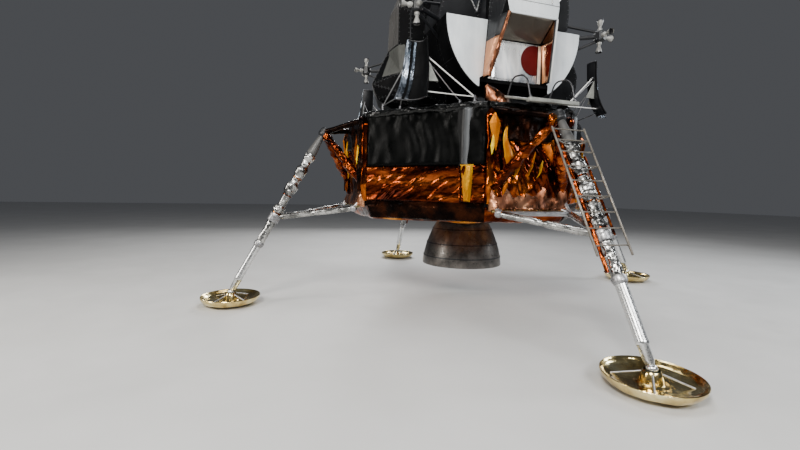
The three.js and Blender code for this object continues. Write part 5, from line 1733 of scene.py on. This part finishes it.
def dish_assembly(name, x, y, axis_z, arm, radius):
    depth, thick = radius * 0.32, 0.012
    centre = Vector((x, y - 0.020, axis_z))
    back = [(depth * (k / 16) ** 2, radius * k / 16) for k in range(17)]
    front = [(depth * (k / 16) ** 2 + thick, (radius - 0.004) * k / 16) for k in range(16, -1, -1)]
    rim = [(depth + 0.004, radius + 0.003), (depth + thick, radius + 0.003),
           (depth + thick + 0.004, radius - 0.003)]
    hub = [(0, 0), (0, 0.052), (0.006, 0.058), (0.085, 0.060), (0.10, 0.060), (0.10, 0)]
    feed = [(0.0, 0.03), (0.04, 0.024), (radius * 0.72, 0.012), (radius * 0.73, 0.022),
            (radius * 0.85, 0.054), (radius * 0.86, 0.050), (radius * 0.86, 0)]
    parts = [turned(centre, FORWARD, back + rim + front, "white_paint", 72, name),
             turned((x, y + 0.070, axis_z), FORWARD, hub, "bare_metal", 32, name),
             turned(centre, FORWARD, feed, "white_paint", 32, name)]
    for way in (spoke(angle + math.pi / 2, True) for angle in angles(3)):
        tripod = [centre + way * (radius * 0.80) + Vector((0, -depth * 0.64 - 0.01, 0)),
                  centre + way * 0.02 + Vector((0, -radius * 0.74, 0))]
        parts.append(rod(tripod, 0.006, "bare_metal", 10, name))
    for way in (spoke(angle, True) for angle in angles(8, 0.5)):
        rib = [centre + way * (radius * t) + Vector((0, -depth * t * t + 0.004, 0))
               for t in (0.15, 0.4, 0.7, 0.97)]
        parts.append(rod(rib, 0.006, "bare_metal", 8, name))
    for s in (-1, 1):
        pin = [(x + s * 0.05, y, axis_z), (x + s * (arm + 0.018), y, axis_z)]
        parts.append(rod(pin, 0.0138, "bright_metal", 18, name))
    joined(f"{name}_assembly", parts, name)


def yoke_trim(name, x, y, z, arm, rise):
    boss = [(0, 0.0), (0, 0.034), (0.008, 0.034), (0.012, 0.026), (0.012, 0)]
    parts = []
    for s in (-1, 1):
        parts.append(turned((x + s * (arm + 0.020), y, z + rise), (s, 0, 0), boss, "bright_metal", 28, name))
        side, back = x + s * (arm - 0.01), y + 0.042
        cable = [(x + s * 0.1, back, z + 0.06), (side, back, z + 0.06), (side, back, z + rise - 0.05)]
        parts.append(rod(rounded(cable, 0.05), 0.007, "dark_metal", 10, name))
    joined(f"{name}_trim", parts)


def aerials():
    cone = [(0, 0), (0, 0.092), (0.006, 0.094), (0.02, 0.080), (0.09, 0.030), (0.128, 0.014), (0.1295, 0)]
    dish_mast = [(0, 0.0), (0, 0.075), (0.70, 0.062), (0.72, 0.080), (0.7495, 0.080), (0.7495, 0)]
    radar_mast = [(0, 0.0), (0, 0.12), (0.04, 0.105), (0.07, 0.064), (0.19, 0.062), (0.21, 0.078),
                  (0.2295, 0.078), (0.2295, 0)]
    parts = [rod([(1.0, -0.25, DECK + 2.05), (1.0, -0.25, DECK + 3.70)], 0.0150, "white_paint", 16),
             turned((1.0, -0.25, DECK + 3.695), up(1), cone, "white_paint", 32),
             rod([(1.3, 0.35, DECK + 1.95), (1.3, 0.35, DECK + 2.87)], 0.017, "bare_metal", 16),
             ball((1.3, 0.35, DECK + 2.9), 0.046, "white_paint", 28),
             turned((-1.1, -0.1, DECK + 2.0), up(1), dish_mast, "bare_metal", 36),
             turned((0, -1.2, CABIN_Z + CABIN_RADIUS - 0.03), up(1), radar_mast, "bare_metal", 36)]
    joined("aerials", parts)


def handholds():
    rails = []
    for s in (-1, 1):
        path = [(s * 0.62, y, ROOF_Z + rise)
                for y, rise in ((-0.50, 0), (-0.50, 0.07), (-0.10, 0.07), (-0.10, 0))]
        rails.append(rod(rounded(path, 0.03), 0.011, "bright_metal", 12))
        for z in (1.62, 1.98):
            y = -2.048 + (z - 1.5) * 0.19
            path = [(s * 0.30, y + dy, DECK + z + dz)
                    for dy, dz in ((0, -0.10), (-0.045, -0.10), (-0.025, 0.10), (0.03, 0.10))]
            rails.append(rod(rounded(path, 0.02), 0.010, "bright_metal", 12))
    joined("handholds", rails)


def ascent_stage():
    cabin_front()
    box_skins()
    aft_equipment()
    docking()
    roof_hatch()
    for name, x, y, z, arm, rise, radius in DISHES:
        dish_assembly(f"{name}_dish", x, y, z + rise, arm, radius)
        yoke_trim(f"{name}_yoke", x, y, z, arm, rise)
    aerials()
    handholds()
    for corner in CORNERS:
        plume_deflector(corner)
        thruster_quad(corner)


add_camera()
add_studio()
add_floor()
dress_nodes()
descent_stage()
descent_engine()
legs()
porch()
ascent_stage()

bpy.context.view_layer.update()
